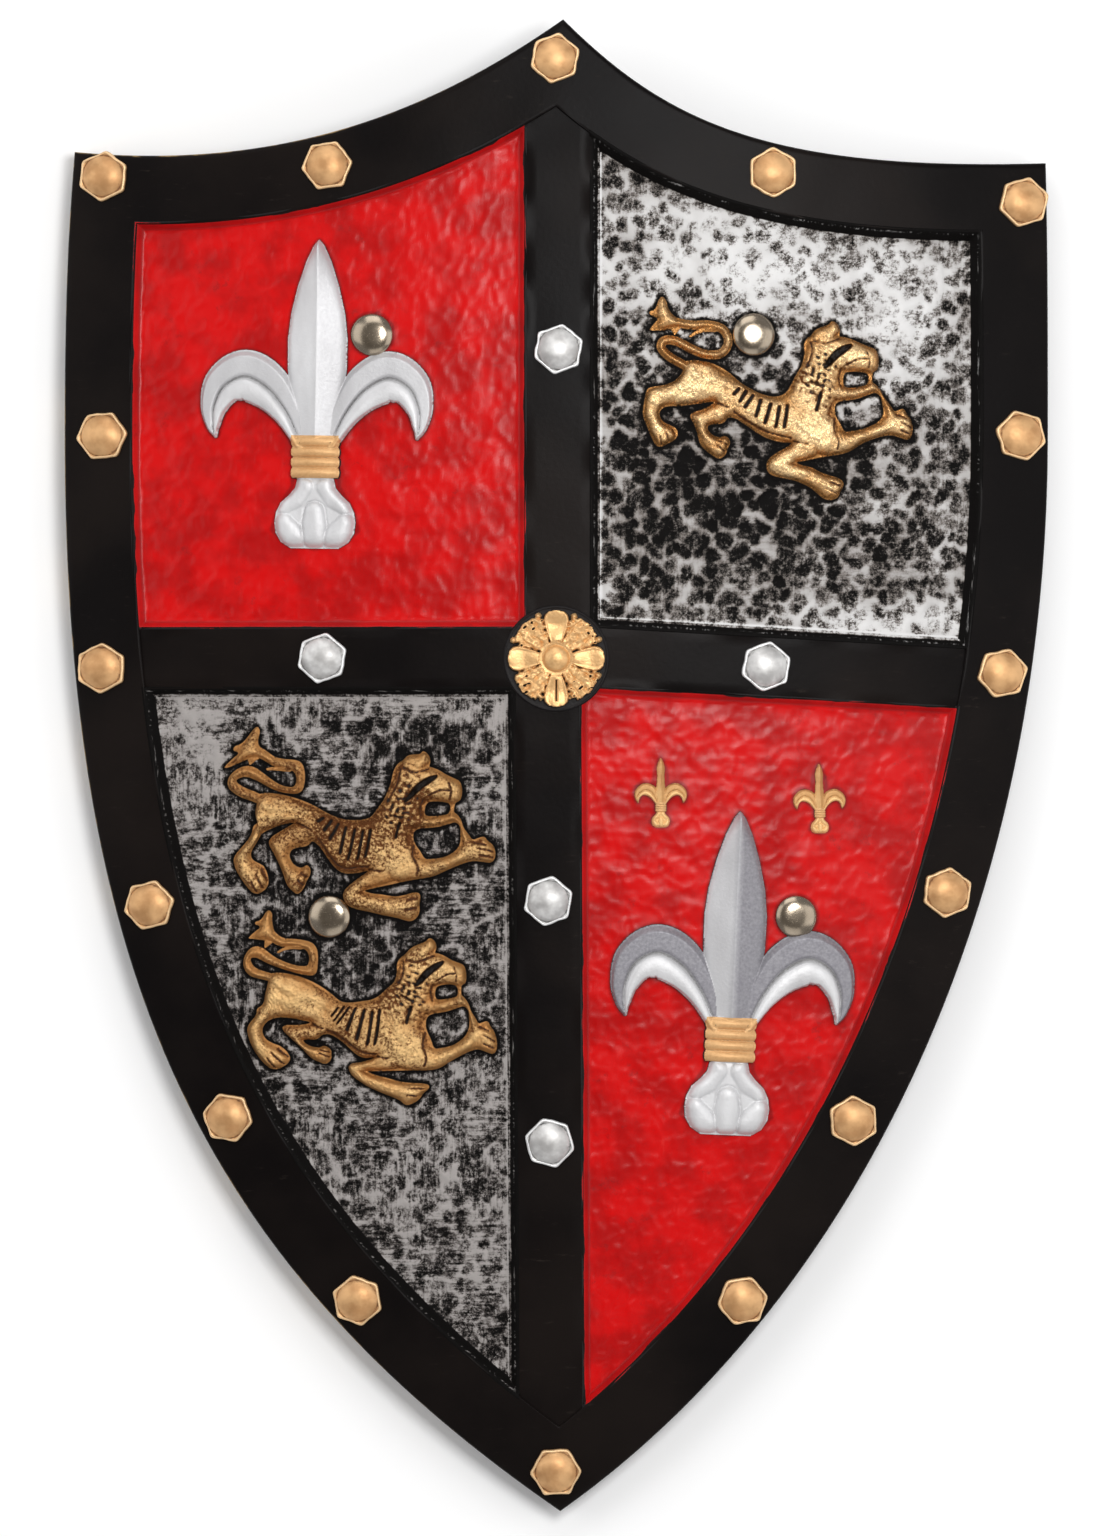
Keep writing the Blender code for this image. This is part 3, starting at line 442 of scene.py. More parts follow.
LION_PLACES = {
    "lion_upper_right": ((0.174, 0.357), 0.0967, 0.0, 0.42, (
        (8.0, 70.0, 0.0, 0.8), (50.0, 40.0, 0.0, 0.0))),
    "lion_lower_left": ((-0.668, -0.210), 0.0950, -1.0, 1.05, (
        (7.8, 71.5, 1.8, -0.3), (3.8, 64.6, -4.1, -3.2), (33.3, 57.6, -5.6, -3.6), (20.7, 63.4, -3.7, -3.8),
        (28.4, 50.7, -3.1, -2.5), (6.1, 54.0, -6.2, -4.5), (16.0, 44.8, -4.9, -2.3), (12.0, 61.0, -4.4, -0.3),
        (48.0, 36.0, 0.3, 1.6), (36.0, 41.7, 0.0, -0.7), (2.4, 38.7, 7.6, -4.6), (1.3, 30.9, 1.6, -6.2),
        (6.5, 18.2, 3.9, -8.2), (13.3, 23.0, 2.2, -6.8), (7.1, 29.7, 1.3, -4.3), (19.4, 28.1, -2.5, -1.3),
        (29.0, 13.6, -2.4, -3.5), (32.4, 19.5, -2.2, -1.9), (24.5, 24.4, -0.6, -2.5), (31.3, 28.9, -0.7, 1.9),
        (35.0, 28.3, 0.0, -2.5), (42.6, 24.1, -0.5, -4.6), (55.1, 19.1, -3.7, -0.4), (46.3, 11.1, -2.8, -1.3),
        (49.1, 7.4, -2.5, -1.9), (69.2, -0.6, 1.2, 2.5), (74.1, 4.7, -2.2, 6.2), (57.5, 12.1, -6.0, -0.6),
        (61.6, 6.6, -2.5, -0.9), (99.3, 23.8, 0.3, 2.5), (80.1, 18.5, 0.0, 0.6), (89.1, 29.9, -2.4, 0.0),
        (71.4, 32.7, -2.1, 0.6), (79.1, 42.8, -1.0, 0.1), (70.6, 63.6, 2.5, 0.0), (87.0, 52.9, -0.2, -0.6),
        (60.1, 56.8, 1.8, 1.3), (60.2, 51.8, -0.6, -1.9))),
    "lion_lowest": ((-0.637, -0.459), 0.0914, -1.0, 0.75, (
        (7.7, 71.7, 1.2, 4.4), (4.0, 60.2, -3.3, 4.5), (20.8, 63.5, -5.2, 1.1), (33.2, 56.2, -5.2, 1.2),
        (26.2, 50.3, -2.0, 1.0), (6.3, 53.8, -7.4, 1.2), (15.9, 45.9, -5.9, 2.7), (2.4, 39.1, 3.3, -1.5),
        (1.3, 30.4, 0.4, 0.7), (6.7, 18.1, 5.9, -3.8), (13.7, 22.8, 5.9, -1.8), (7.1, 30.5, 0.6, 0.0),
        (9.8, 26.4, 0.7, -2.3), (18.2, 28.7, -2.2, 0.6), (29.0, 13.7, 3.6, 3.3), (32.2, 19.2, 2.3, 3.3),
        (24.5, 24.3, 0.2, 0.7), (30.4, 33.5, -0.6, -2.0), (35.7, 28.4, -2.0, 0.6), (46.1, 23.4, -1.3, -1.3),
        (46.7, 10.4, -5.4, 5.1), (49.0, 7.2, -3.9, 3.2), (59.4, 4.2, -2.6, 0.6), (69.9, -1.5, -4.6, 2.9),
        (74.1, 3.8, -2.4, 4.5), (57.7, 12.2, -8.9, 1.9), (99.7, 24.3, -1.1, 1.3), (95.3, 31.4, -2.0, 2.6),
        (71.0, 30.9, -0.4, 1.3), (88.8, 28.0, -1.3, 1.3), (78.9, 42.5, -0.1, 3.2), (70.7, 63.6, 1.6, 2.4),
        (59.8, 56.7, -0.7, 0.6), (87.1, 53.3, -1.3, 2.6), (46.5, 36.1, -0.1, 4.8), (54.9, 38.4, -0.7, 5.8),
        (28.8, 48.4, 0.0, 0.0), (74.7, 18.7, -0.6, -0.7))),
}
LION_RELIEF, SPREAD = 0.0042, 0.0004


def rounded(corners, times=2, closed=True):
    """A line with its corners cut off: every edge keeps its points at a quarter and three quarters."""
    line = np.array(corners, float)
    for _ in range(times):
        ahead = np.roll(line, -1, axis=0) if closed else line[1:]
        here = line if closed else line[:-1]
        cut = np.stack([0.75 * here + 0.25 * ahead, 0.25 * here + 0.75 * ahead], 1).reshape(-1, 2)
        line = cut if closed else np.concatenate([line[:1], cut, line[-1:]])
    return line


def nearest(places, line):
    """How far each point is from a line, where on it the foot is, and on which side, left being positive."""
    flat = places.reshape(-1, 2)
    start, step = line[:-1], np.diff(line, axis=0)
    square = (step ** 2).sum(1) + 1e-30
    best = np.full(len(flat), np.inf)
    foot = np.zeros(len(flat))
    side = np.ones(len(flat))
    for k in range(len(start)):
        gap = flat - start[k]
        share = np.clip(gap @ step[k] / square[k], 0, 1)
        away = gap - share[:, None] * step[k]
        distance = np.einsum("ij,ij->i", away, away)
        closer = distance < best
        best[closer] = distance[closer]
        foot[closer] = k + share[closer]
        side[closer] = np.sign(step[k][0] * gap[closer, 1] - step[k][1] * gap[closer, 0])
    shape = places.shape[:-1]
    return np.sqrt(best).reshape(shape), foot.reshape(shape), side.reshape(shape)


def depth_in(places, loop):
    """How deep each point is in a closed loop, negative outside: a ray from inside crosses it oddly often."""
    ring = np.concatenate([loop, loop[:1]])
    distance = nearest(places, ring)[0]
    x, y = places[..., 0], places[..., 1]
    odd = np.zeros(x.shape, bool)
    for (x0, y0), (x1, y1) in zip(ring[:-1], ring[1:]):
        if y0 != y1:
            odd ^= ((y0 > y) != (y1 > y)) & (x < x0 + (y - y0) * (x1 - x0) / (y1 - y0))
    return np.where(odd, distance, -distance)


def strand(places, path, halves):
    """How deep each point lies in a strip of changing width, and the square of its place across it."""
    line = np.array(path, float)
    distance, foot, _ = nearest(places, line)
    half = np.interp(foot, np.arange(len(line)), halves)
    return half - distance, (distance / half) ** 2


def smooth_line(knots, count=8):
    """A smooth line through knots: each stretch is a cubic along its neighbours' chords at both ends."""
    line = np.array(knots, float)
    ends = np.concatenate([2 * line[:1] - line[1:2], line, 2 * line[-1:] - line[-2:-1]])
    t = np.linspace(0, 1, count, endpoint=False)[:, None]
    curve = [
        b + (c - a) * t / 2 + (a - 2.5 * b + 2 * c - d / 2) * t ** 2 + (3 * b - a - 3 * c + d) * t ** 3 / 2
        for a, b, c, d in zip(ends, ends[1:], ends[2:], ends[3:])
    ]
    return np.concatenate([*curve, line[-1:]])


def raised(depth, shape, low, high, step):
    """A closed relief over the part of a grid that lies inside a figure.

    Points near the outline are moved on to it along the depth's slope, cells with a corner outside are
    left out, and the rim is let down below the floor, where bottom faces are filled in by build_figure.
    """
    x = np.arange(low[0], high[0], step)
    y = np.arange(low[1], high[1], step)
    places = np.stack(np.meshgrid(x, y), -1)
    for _ in range(2):
        inside = depth(places)
        down, right = np.gradient(inside, step)
        slope = np.maximum(np.hypot(right, down), 0.25)
        near = np.abs(inside / slope) < 0.75 * step
        move = np.where(near, inside / slope ** 2, 0.0)
        places = places - move[..., None] * np.stack([right, down], -1)
    keep = near | (inside > 0)
    cells = keep[:-1, :-1] & keep[:-1, 1:] & keep[1:, 1:] & keep[1:, :-1]
    index = np.arange(places.shape[0] * places.shape[1]).reshape(places.shape[:2])
    quads = np.stack([index[:-1, :-1], index[:-1, 1:], index[1:, 1:], index[1:, :-1]], -1)[cells]
    edges = np.concatenate([quads[:, [k, (k + 1) % 4]] for k in range(4)])
    keys = edges[:, 0] * index.size + edges[:, 1]
    twins = edges[:, 1] * index.size + edges[:, 0]
    rim = edges[~np.isin(keys, twins)]
    used, flat_quads = np.unique(quads, return_inverse=True)
    spots = places.reshape(-1, 2)[used]
    outward = np.stack([right, down], -1).reshape(-1, 2)[used]
    outward = -outward / np.maximum(np.linalg.norm(outward, axis=1, keepdims=True), 1e-9)
    number = np.full(index.size, -1)
    number[used] = np.arange(len(used))
    rim = number[rim]
    skirt, rim_places = np.unique(rim, return_inverse=True)
    lower = rim_places.reshape(rim.shape) + len(used)
    return spots, flat_quads.reshape(-1, 4), rim, skirt, lower, outward[skirt], *shape(spots)


def warped(places, pairs, reach=7.0):
    """Points moved by a smooth sum of bells that takes each measured point nearly its whole given way."""
    if not pairs:
        return places
    at, move = np.hsplit(np.array(pairs), 2)
    bells = np.exp(-((at[:, None] - at[None]) ** 2).sum(-1) / (2 * reach ** 2))
    weights = np.linalg.solve(bells + 0.06 * np.eye(len(at)), move)
    return places + np.exp(-((places[:, None] - at[None]) ** 2).sum(-1) / (2 * reach ** 2)) @ weights


def build_figure(name, figure, place, size, turn, relief, finish, pairs=(), patina=0.0):
    """A figure on the shield: bent to its measured points, turned, and its heights shares of the relief."""
    spots, quads, rim, skirt, lower, outward, heights, values = figure
    count = len(spots)
    lowest = spots[skirt] + outward * SPREAD / size
    plan = warped(np.concatenate([spots, lowest]) * 100, pairs) / 100
    torso = np.exp(-((spots[:, 0] - 0.46) / 0.26) ** 2 - ((spots[:, 1] - 0.38) / 0.20) ** 2)
    values = {**values, "high": heights, "patina": patina * (0.45 + 0.75 * torso)}
    angle = np.radians(turn)
    turned = plan @ np.array([[np.cos(angle), np.sin(angle)], [-np.sin(angle), np.cos(angle)]])
    foot = np.array(place) * HALF
    height = np.concatenate([PANEL + relief * heights, np.full(len(lowest), PANEL - 0.0009)])
    flat = np.column_stack([foot + size * turned, height])
    walls = np.stack([rim[:, 1], rim[:, 0], lower[:, 0], lower[:, 1]], -1)
    carried = {key: np.concatenate([number, number[skirt]]) for key, number in values.items()}
    carried["side"] = np.concatenate([np.zeros(count), np.ones(len(lowest))])
    item = build(name, "painted_foam", flat, [quads, walls], finish, **carried)
    shell = bmesh.new()
    shell.from_mesh(item.data)
    for vert, spot in zip(shell.verts, flat):
        vert.co = spot
    open_edges = [edge for edge in shell.edges if edge.is_boundary]
    bmesh.ops.triangle_fill(shell, edges=open_edges, use_beauty=False, normal=(0, 0, -1))
    bmesh.ops.recalc_face_normals(shell, faces=shell.faces[:])
    for face in shell.faces:
        face.smooth = True
    shell.to_mesh(item.data)
    shell.free()
    item.data.vertices.foreach_set("co", on_camber(flat).ravel())
    item.data.update()
    return item


lion_body = rounded(LION_BODY)
lion_holes = (rounded(LION_MOUTH), rounded(LION_GAP))
lion_tail = smooth_line(LION_TAIL, 6)
lion_tuft, lion_spur = rounded(LION_TUFT, 1), np.array(LION_SPUR, float)


def lion_depth(places):
    """The deeper of body, tail and tuft, less the mouth and the gap under the jaw, as length shares."""
    spots = places * 100
    depth = depth_in(spots, lion_body)
    depth = np.maximum(depth, strand(spots, lion_tail, np.full(len(lion_tail), 1.55))[0])
    depth = np.maximum(depth, strand(spots, smooth_line(LION_CURL), np.linspace(1.1, 0.35, 25))[0])
    for loop in (lion_tuft, lion_spur):
        depth = np.maximum(depth, depth_in(spots, loop))
    for hole in lion_holes:
        depth = np.minimum(depth, -depth_in(spots, hole))
    return depth / 100


def lion_shape(places):
    """A steep rounded rim, the highest of the limbs' round sections on it, and the carved lines cut in."""
    spots = places * 100
    rim = 1 - np.exp(-np.maximum(lion_depth(places), 0) * 100 / 1.1)
    bulge = np.full(len(spots), 0.0)
    for path, halves, high in LION_BULGES.values():
        depth, across = strand(spots, path, halves)
        bulge = np.maximum(bulge, high * np.sqrt(np.maximum(1 - across, 0)))
    mane = np.exp(-(((spots[:, 0] - 65) / 9) ** 2 + ((spots[:, 1] - 46) / 12) ** 2))
    lumps = ripple(spots, 2.6, 21, 24)
    cuts = np.zeros(len(spots))
    for start, end in LION_RIBS:
        distance = nearest(spots, np.array([start, end]))[0]
        cuts = np.maximum(cuts, 1 - np.clip((distance - 0.30) / 0.55, 0, 1))
    creases = np.zeros(len(spots))
    for line in LION_CREASES:
        distance = nearest(spots, smooth_line(line, 4))[0]
        creases = np.maximum(creases, 1 - np.clip((distance - 0.10) / 0.60, 0, 1))
    distance, foot, _ = nearest(spots, smooth_line(LION_EYE))
    opened = 1.35 * np.sqrt(np.maximum(1 - ((foot - 8) / 8.6) ** 2, 0))
    lens = np.clip((opened - distance) / 0.6 + 0.5, 0, 1)
    low = 0.10 + 0.62 * bulge
    rough = 0.07 * mane * lumps + 0.022 * ripple(spots, 1.2, 22) + 0.040 * ripple(spots, 4.0, 23)
    height = rim * (low + 0.20 + rough)
    height = height - 0.30 * cuts - 0.14 * creases - 0.55 * lens
    pits = np.clip(mane * (0.45 - 0.55 * lumps), 0, 1)
    hollow = np.max([cuts, 0.75 * creases, 1.2 * lens, 0.8 * pits], axis=0).clip(0, 1)
    return np.maximum(height, 0.10), {"hollow": hollow, "rim": rim}


lion_step = 0.0030
lion_figure = raised(lion_depth, lion_shape, (-0.01, -0.02), (1.02, 0.76), lion_step)
gold = Finish("brushed gold paint", **{"Specular IOR Level": 0.3})
speck = gold.noise(0.0010, 6.0, rough=0.70) - 0.5
cloud = gold.noise(0.011, 3.0) - 0.5
low, high = gold.value("hollow"), gold.value("high")
aged = gold.value("patina")
dirt = low * 1.1 + aged * 0.95 + speck * (aged * 3.6 + 1.4) + cloud * 1.8 - high * 0.75
dirt = dirt - (0.75 - gold.value("rim")).most(0.0) * 1.2
brown = dirt.ramp(-0.10, 0.62)
wall = gold.value("side") * 1.2 + (0.16 - gold.value("rim")).most(0.0) * 2.0 + speck * 0.4
wall = wall.ramp(0.25, 0.75)
# dull marks the lower-left lions: duller, less metallic paint, and their light gold darker as painted shade
dull = gold.place("X").ramp(0.0, -0.02)
light = dull.blend(colour(248, 212, 158), colour(222, 182, 124))
# painted highlight: the higher the relief, the nearer the colour comes to the light gold
tone = (high * 1.15 + cloud * 1.4 - 0.22).ramp(0.0, 1.0).blend(colour(176, 124, 70), light)
tone = brown.blend(tone, colour(100, 57, 24))
deep = (low * 1.25 + speck * 1.2 - 0.62).ramp(0.0, 0.4)
tone = deep.blend(tone, colour(24, 15, 9))
gold.paint("Base Color", wall.blend(tone, colour(14, 12, 11)))
gold.paint("Metallic", (1 - wall.most(deep)) * (0.82 - dull * 0.25))
gold.paint("Roughness", wall * 0.15 + brown * 0.20 + dull * 0.08 + speck * 0.2 + 0.27)
gold.bump(speck * (aged * 1.4 + 0.5) + 0.5, 0.00030)
lion_rings = []
for name, (place, size, turn, patina, pairs) in LION_PLACES.items():
    build_figure(name, lion_figure, place, size, turn, LION_RELIEF, gold, pairs, patina)
    cos, sin = np.cos(np.radians(turn)), np.sin(np.radians(turn))
    frame_of = np.array([[cos, sin], [-sin, cos]])
    tail_ring = np.concatenate([inward(lion_tail, 1.5), inward(lion_tail, -1.5)[::-1]])
    for loop in (lion_body, *lion_holes, lion_tuft, tail_ring):
        lion_rings.append(np.array(place) * HALF + warped(loop, pairs) / 100 * size @ frame_of)

# Lilies: a tall silver lily on each red quarter and two small gold ones, cast on the floor. Each
# is a ridged leaf between two curled petals, tied by a corded gold band over a lobed foot.
LILY_LEAF = ((0.340, 0.066), (0.400, 0.074), (0.46, 0.083), (0.58, 0.096), (0.680, 0.097), (0.76, 0.088),
             (0.85, 0.067), (0.93, 0.041), (0.98, 0.018), (1.0, 0.002))
LILY_PETAL = ((0.048, 0.340, 0.024), (0.094, 0.440, 0.050), (0.156, 0.518, 0.075), (0.233, 0.557, 0.084),
              (0.302, 0.525, 0.070), (0.334, 0.458, 0.046), (0.336, 0.395, 0.024), (0.328, 0.360, 0.006))
LILY_BAND = (0.228, 0.362, 0.073)
LILY_BELL = ((0.0, 0.078), (0.02, 0.110), (0.05, 0.128), (0.085, 0.132), (0.117, 0.127), (0.148, 0.112),
             (0.172, 0.086), (0.196, 0.066), (0.24, 0.056))
LILY_ARCH = (((0.0, 0.030), (0.0, 0.080), (0.0, 0.118)), (0.036, 0.040, 0.034))
LILY_LOBE = (((0.060, 0.034), (0.082, 0.052), (0.100, 0.080)), (0.034, 0.042, 0.032))
LILY_SHOULDER = (((0.040, 0.200), (0.070, 0.165), (0.098, 0.136)), (0.034, 0.040, 0.026))
LILY_PLACES = {
    "lily_upper_left": ((-0.491, 0.292), 0.1095, -0.9, 0.0046),
    "lily_lower_right": ((0.344, -0.4935), 0.1150, -2.6, 0.0046),
    "lily_small_left": ((0.212, -0.081), 0.0246, 0.0, 0.0020),
    "lily_small_right": ((0.536, -0.089), 0.0246, 1.0, 0.0020),
}
SLIM = ((9, 60, -3.6, 0), (-9, 60, 3.6, 0), (9, 74, -4, 0), (-9, 74, 4, 0), (0, 66, 0, 0), (30, 55, 0, -3),
        (-30, 55, 0, -3))
petal_line = smooth_line(np.array(LILY_PETAL))
petal_path, petal_half = petal_line[:, :2], petal_line[:, 2]


def lily_parts(places):
    """The depth in each part: leaf and foot mirror about the middle, and one petal serves both sides."""
    spots = np.stack([np.abs(places[..., 0]), places[..., 1]], -1)
    u, v = spots[..., 0], spots[..., 1]
    rows, half = np.array(LILY_LEAF).T
    leaf = np.minimum(np.interp(v, rows, half) - u, np.minimum(v - rows[0], rows[-1] - v))
    distance, foot, side = nearest(spots, petal_path)
    width = np.interp(foot, np.arange(len(petal_half)), petal_half)
    bottom, top, reach = LILY_BAND
    cords = np.abs(np.sin((v - bottom) / (top - bottom) * np.pi * 4)) ** 0.6
    band = np.minimum(np.minimum(v - bottom, top - v), reach + 0.006 * cords - u)
    rows, half = np.array(LILY_BELL).T
    bell = np.minimum(np.interp(v, rows, half) - u, np.minimum(v - rows[0], rows[-1] - v))
    return leaf, width - distance, side * distance / width, band, cords, bell, spots


def lily_depth(places):
    leaf, petal, _, band, _, bell, _ = lily_parts(places)
    return np.maximum(np.maximum(leaf, petal), np.maximum(band, bell))


def lily_shape(places):
    """The leaf is a gable, a petal a flat outer band and a round inner one beside a groove.

    The cords are rounds, and the foot carries an arch between two lobes under its shoulders.
    """
    leaf, petal, across, band, cords, bell, spots = lily_parts(places)
    u, v = spots[..., 0], spots[..., 1]
    half = np.interp(v, *np.array(LILY_LEAF).T)
    ridge = 0.35 + 0.62 * np.clip(1 - u / np.maximum(half, 1e-6), 0, 1)
    leaf_high = ridge * (1 - np.exp(-np.maximum(leaf, 0) / 0.006)) * (leaf > -0.01)
    inner = np.sqrt(np.clip(1 - ((across + 0.55) / 0.52) ** 2, 0, 1))
    outer = np.clip((1 - across) / 0.25, 0, 1)
    petal_high = np.where(across < -0.03, 0.28 + 0.50 * inner, 0.50 * outer + 0.05)
    groove = np.exp(-((across + 0.03) / 0.07) ** 2) * (petal > 0.012)
    petal_high = (petal_high - 0.25 * groove) * np.clip(petal / 0.006, 0, 1)
    tied = (band > -0.002).astype(float)
    band_high = (0.66 + 0.34 * cords) * np.sqrt(np.clip(1 - (u / 0.092) ** 2, 0, 1)) * tied
    bumps = []
    for knots, halves in (LILY_ARCH, LILY_LOBE, LILY_SHOULDER):
        bumps.append(np.sqrt(np.maximum(1 - strand(spots, knots, halves)[1], 0)))
    rows = np.clip(v / 0.24, 0, 1)
    round_off = 1 - np.exp(-np.maximum(bell, 0) / 0.010)
    bumps = np.max([0.46 * bumps[0], 0.40 * bumps[1], 0.22 * bumps[2]], axis=0)
    foot_high = (0.40 + 0.12 * rows + bumps) * round_off
    seam = np.clip(1 - np.abs(strand(spots, *LILY_ARCH)[0]) / 0.006, 0, 1) * (v < 0.16) * (bell > 0)
    foot_high = foot_high - 0.10 * seam
    height = np.maximum(np.maximum(leaf_high, petal_high), np.maximum(band_high, foot_high))
    hollow = np.maximum(0.8 * groove * (petal_high >= leaf_high), (1 - cords) * tied * 0.55)
    hollow = np.maximum(hollow, 0.35 * seam)
    rim = 1 - np.exp(-np.maximum(lily_depth(places), 0) / 0.010)
    upmost = petal_high >= np.maximum(leaf_high, foot_high)
    # broad marks painted shade: a petal's flat outer band and the right half of the leaf
    broad = np.where(upmost, np.clip((across + 0.02) / 0.06, 0, 1), 0.0)
    broad = np.where(leaf_high > petal_high, 0.62 + 0.36 * np.clip(places[:, 0] * 60, -1, 1), broad)
    return np.maximum(height, 0.12), {"hollow": hollow, "tied": tied, "rim": rim, "broad": broad}


def lily_finish(name, flat, bright, dim):
    """Silver or gold paint: gold band, painted shade on flats and one leaf half, dark grooves and sides."""
    paint = Finish(name, **{"Metallic": 0.7, "Roughness": 0.3})
    grain = paint.noise(0.0010, 4.0)
    streaks = paint.noise(0.010, 3.0, (1, 0.35, 1))
    dark = (paint.value("hollow") * 1.2 + grain * 0.5 - 0.45).ramp(0.2, 0.7)
    dark = dark * (0.45 + paint.value("tied") * 0.4)
    sides = paint.value("side") * 1.2 + (0.30 - paint.value("rim")).most(0.0) * 1.6 + grain * 0.4 - 0.2
    sides = sides.ramp(0.3, 0.7)
    # painted shade: strongest on lilies right of the middle of the shield
    shade = paint.place("X").ramp(-0.01, 0.01) * 0.85 + 0.22
    tone = (streaks * 1.5 - 0.25).blend(flat, bright)
    tone = (paint.value("broad") * shade * (0.62 + grain * 0.5)).least(1.0).blend(tone, dim)
    banded = (grain * 1.2 + streaks * 0.6 - 0.4).blend(colour(196, 148, 96), colour(226, 182, 128))
    tone = paint.value("tied").ramp(0.4, 0.6).blend(tone, banded)
    tone = dark.blend(tone, colour(34, 26, 22))
    paint.paint("Base Color", sides.blend(tone, colour(22, 16, 15)))
    paint.paint("Metallic", (1 - sides.most(dark)) * 0.38)
    paint.paint("Roughness", grain * 0.16 + streaks * 0.14 + sides * 0.2 + 0.36)
    paint.bump(grain, 0.00009)
    return paint


silver_lily = lily_finish(
    "brushed silver paint", colour(184, 183, 184), colour(222, 222, 223), colour(128, 126, 132))
gold_lily = lily_finish(
    "small lilies gold", colour(200, 152, 96), colour(240, 198, 138), colour(190, 142, 88))
lily_step = 0.0030
lily_figure = raised(lily_depth, lily_shape, (-0.46, -0.02), (0.461, 1.02), lily_step)
small_figure = raised(lily_depth, lily_shape, (-0.46, -0.02), (0.461, 1.02), 0.0085)
lily_rings = []
for name, (place, size, turn, relief) in LILY_PLACES.items():
    small = size < 0.05
    build_figure(name, small_figure if small else lily_figure, place, size, turn, relief,
                 gold_lily if small else silver_lily, SLIM if small else ())
    cos, sin = np.cos(np.radians(turn)), np.sin(np.radians(turn))
    v, half = np.array(LILY_LEAF).T
    leaf_ring = np.concatenate([np.stack([half, v], -1), np.stack([-half, v], -1)[::-1]])
    normals = np.gradient(petal_path, axis=0)
    normals = np.stack([-normals[:, 1], normals[:, 0]], -1) / np.linalg.norm(normals, axis=1, keepdims=True)
    petal_ring = np.concatenate([petal_path + normals * petal_half[:, None],
                                 (petal_path - normals * petal_half[:, None])[::-1]])
    foot_ring = np.array([(0.072, 0.36), (0.075, 0.2), (0.125, 0.12), (0.14, 0.06), (0.1, 0.02), (0.0, 0.0)])
    foot_ring = np.concatenate([foot_ring, foot_ring[::-1] * (-1, 1)])
    for loop in (leaf_ring, petal_ring, petal_ring * (-1, 1), foot_ring):
        turned = loop @ np.array([[cos, sin], [-sin, cos]])
        lily_rings.append(np.array(place) * HALF + turned * size)

# Cap rivets: four nickelled steel caps pressed into the face, each on a shank through the foam
# with a flat head behind a strap. They are turned shapes, polished and a little tarnished.
RIVETS = {
    "rivet_upper_left": (-0.0656, 0.1532), "rivet_upper_right": (0.0702, 0.1532),
    "rivet_lower_left": (-0.08085, -0.0532), "rivet_lower_right": (0.08545, -0.0532),
}
CAP, CAP_HEIGHT, SHANK, HEAD, HEAD_HEIGHT = 0.0075, 0.0031, 0.0020, 0.0055, 0.0014
CAP_BASE, HEAD_TOP = -0.0031, -0.0152

steel = Finish("nickelled steel", **{"Metallic": 1.0})
steel.paint("Base Color", steel.noise(0.004, 3.0).blend(colour(146, 133, 116), colour(176, 163, 145)))
steel.paint("Roughness", steel.noise(0.0007, 4.0).ramp(0.5, 0.8) * 0.10 + 0.22)
bend = np.linspace(0, 1, 22)
turned_profile = [(0.25 * HEAD, HEAD_TOP - HEAD_HEIGHT), (0.70 * HEAD, HEAD_TOP - HEAD_HEIGHT),
                  (0.88 * HEAD, HEAD_TOP - 0.92 * HEAD_HEIGHT), (0.98 * HEAD, HEAD_TOP - 0.5 * HEAD_HEIGHT),
                  (HEAD, HEAD_TOP), (SHANK, HEAD_TOP), (SHANK, CAP_BASE), (0.93 * CAP, CAP_BASE),
                  (0.985 * CAP, CAP_BASE + 0.0001), (CAP, CAP_BASE + 0.0004)]
turned_profile += [(CAP * (1 - t), CAP_BASE + 0.0005 + (CAP_HEIGHT - 0.0009) * (1 - (1 - t) ** 3.0) ** 0.75)
                   for t in bend[:-1] ** 1.6]
spin = np.linspace(0, 2 * np.pi, 64, endpoint=False)
rivet_rings = []
for name, (x, y) in RIVETS.items():
    loops = np.array([np.column_stack([x + r * np.cos(spin), y + r * np.sin(spin), np.full(64, h)])
                      for r, h in turned_profile])
    places, *faces = lofted(loops)
    build(name + "_turned", "rivet_metal", places, faces, steel, (name,))
    rivet_rings.append(np.column_stack([x + CAP * np.cos(spin), y + CAP * np.sin(spin)]))

# Quarters: the four sunk fields of the casting. Two are brushed with glossy red, two are beaten
# all over with shallow pits and dry-brushed silver over black, which stays in the pits and walls.
# The red is painted darker down its walls as painted shade, and both paints are darker round the
# figures and rivets from a dark wash and painted shade. The silver's uneven load also paints
# brighter places as painted highlight, and the lower-left quarter darker as painted shade.
OVERLAP = 0.0011
# Uneven silver load per quarter: its spots also paint brighter places as painted highlight and darker ones as
# painted shade.
BRUSH_LOADS_AND_LIGHT = {
    "field_upper_left": (),
    "field_upper_right": ((58, 178, 40, 26, 0.34), (120, 160, 30, 34, 0.26), (138, 70, 12, 30, 0.10),
                          (100, 52, 60, 6, 0.22), (60, 95, 44, 34, -0.16), (35, 130, 20, 20, -0.10)),
    "field_lower_left": ((-130, 5, 16, 30, 0.22), (-60, 22, 60, 4, 0.12), (-20, 10, 6, 30, 0.10),
                         (-45, 0, 28, 16, -0.12), (-70, -50, 30, 25, -0.16), (-40, -135, 40, 30, 0.10)),
    "field_lower_right": (),
}
FIELDS = {
    "field_upper_left": ("upper", 1, "left", -1, "red"),
    "field_upper_right": ("upper", -1, "right", 1, "silver"),
    "field_lower_left": ("lower", -1, "left", 1, "silver"),
    "field_lower_right": ("lower", 1, "right", -1, "red"),
}


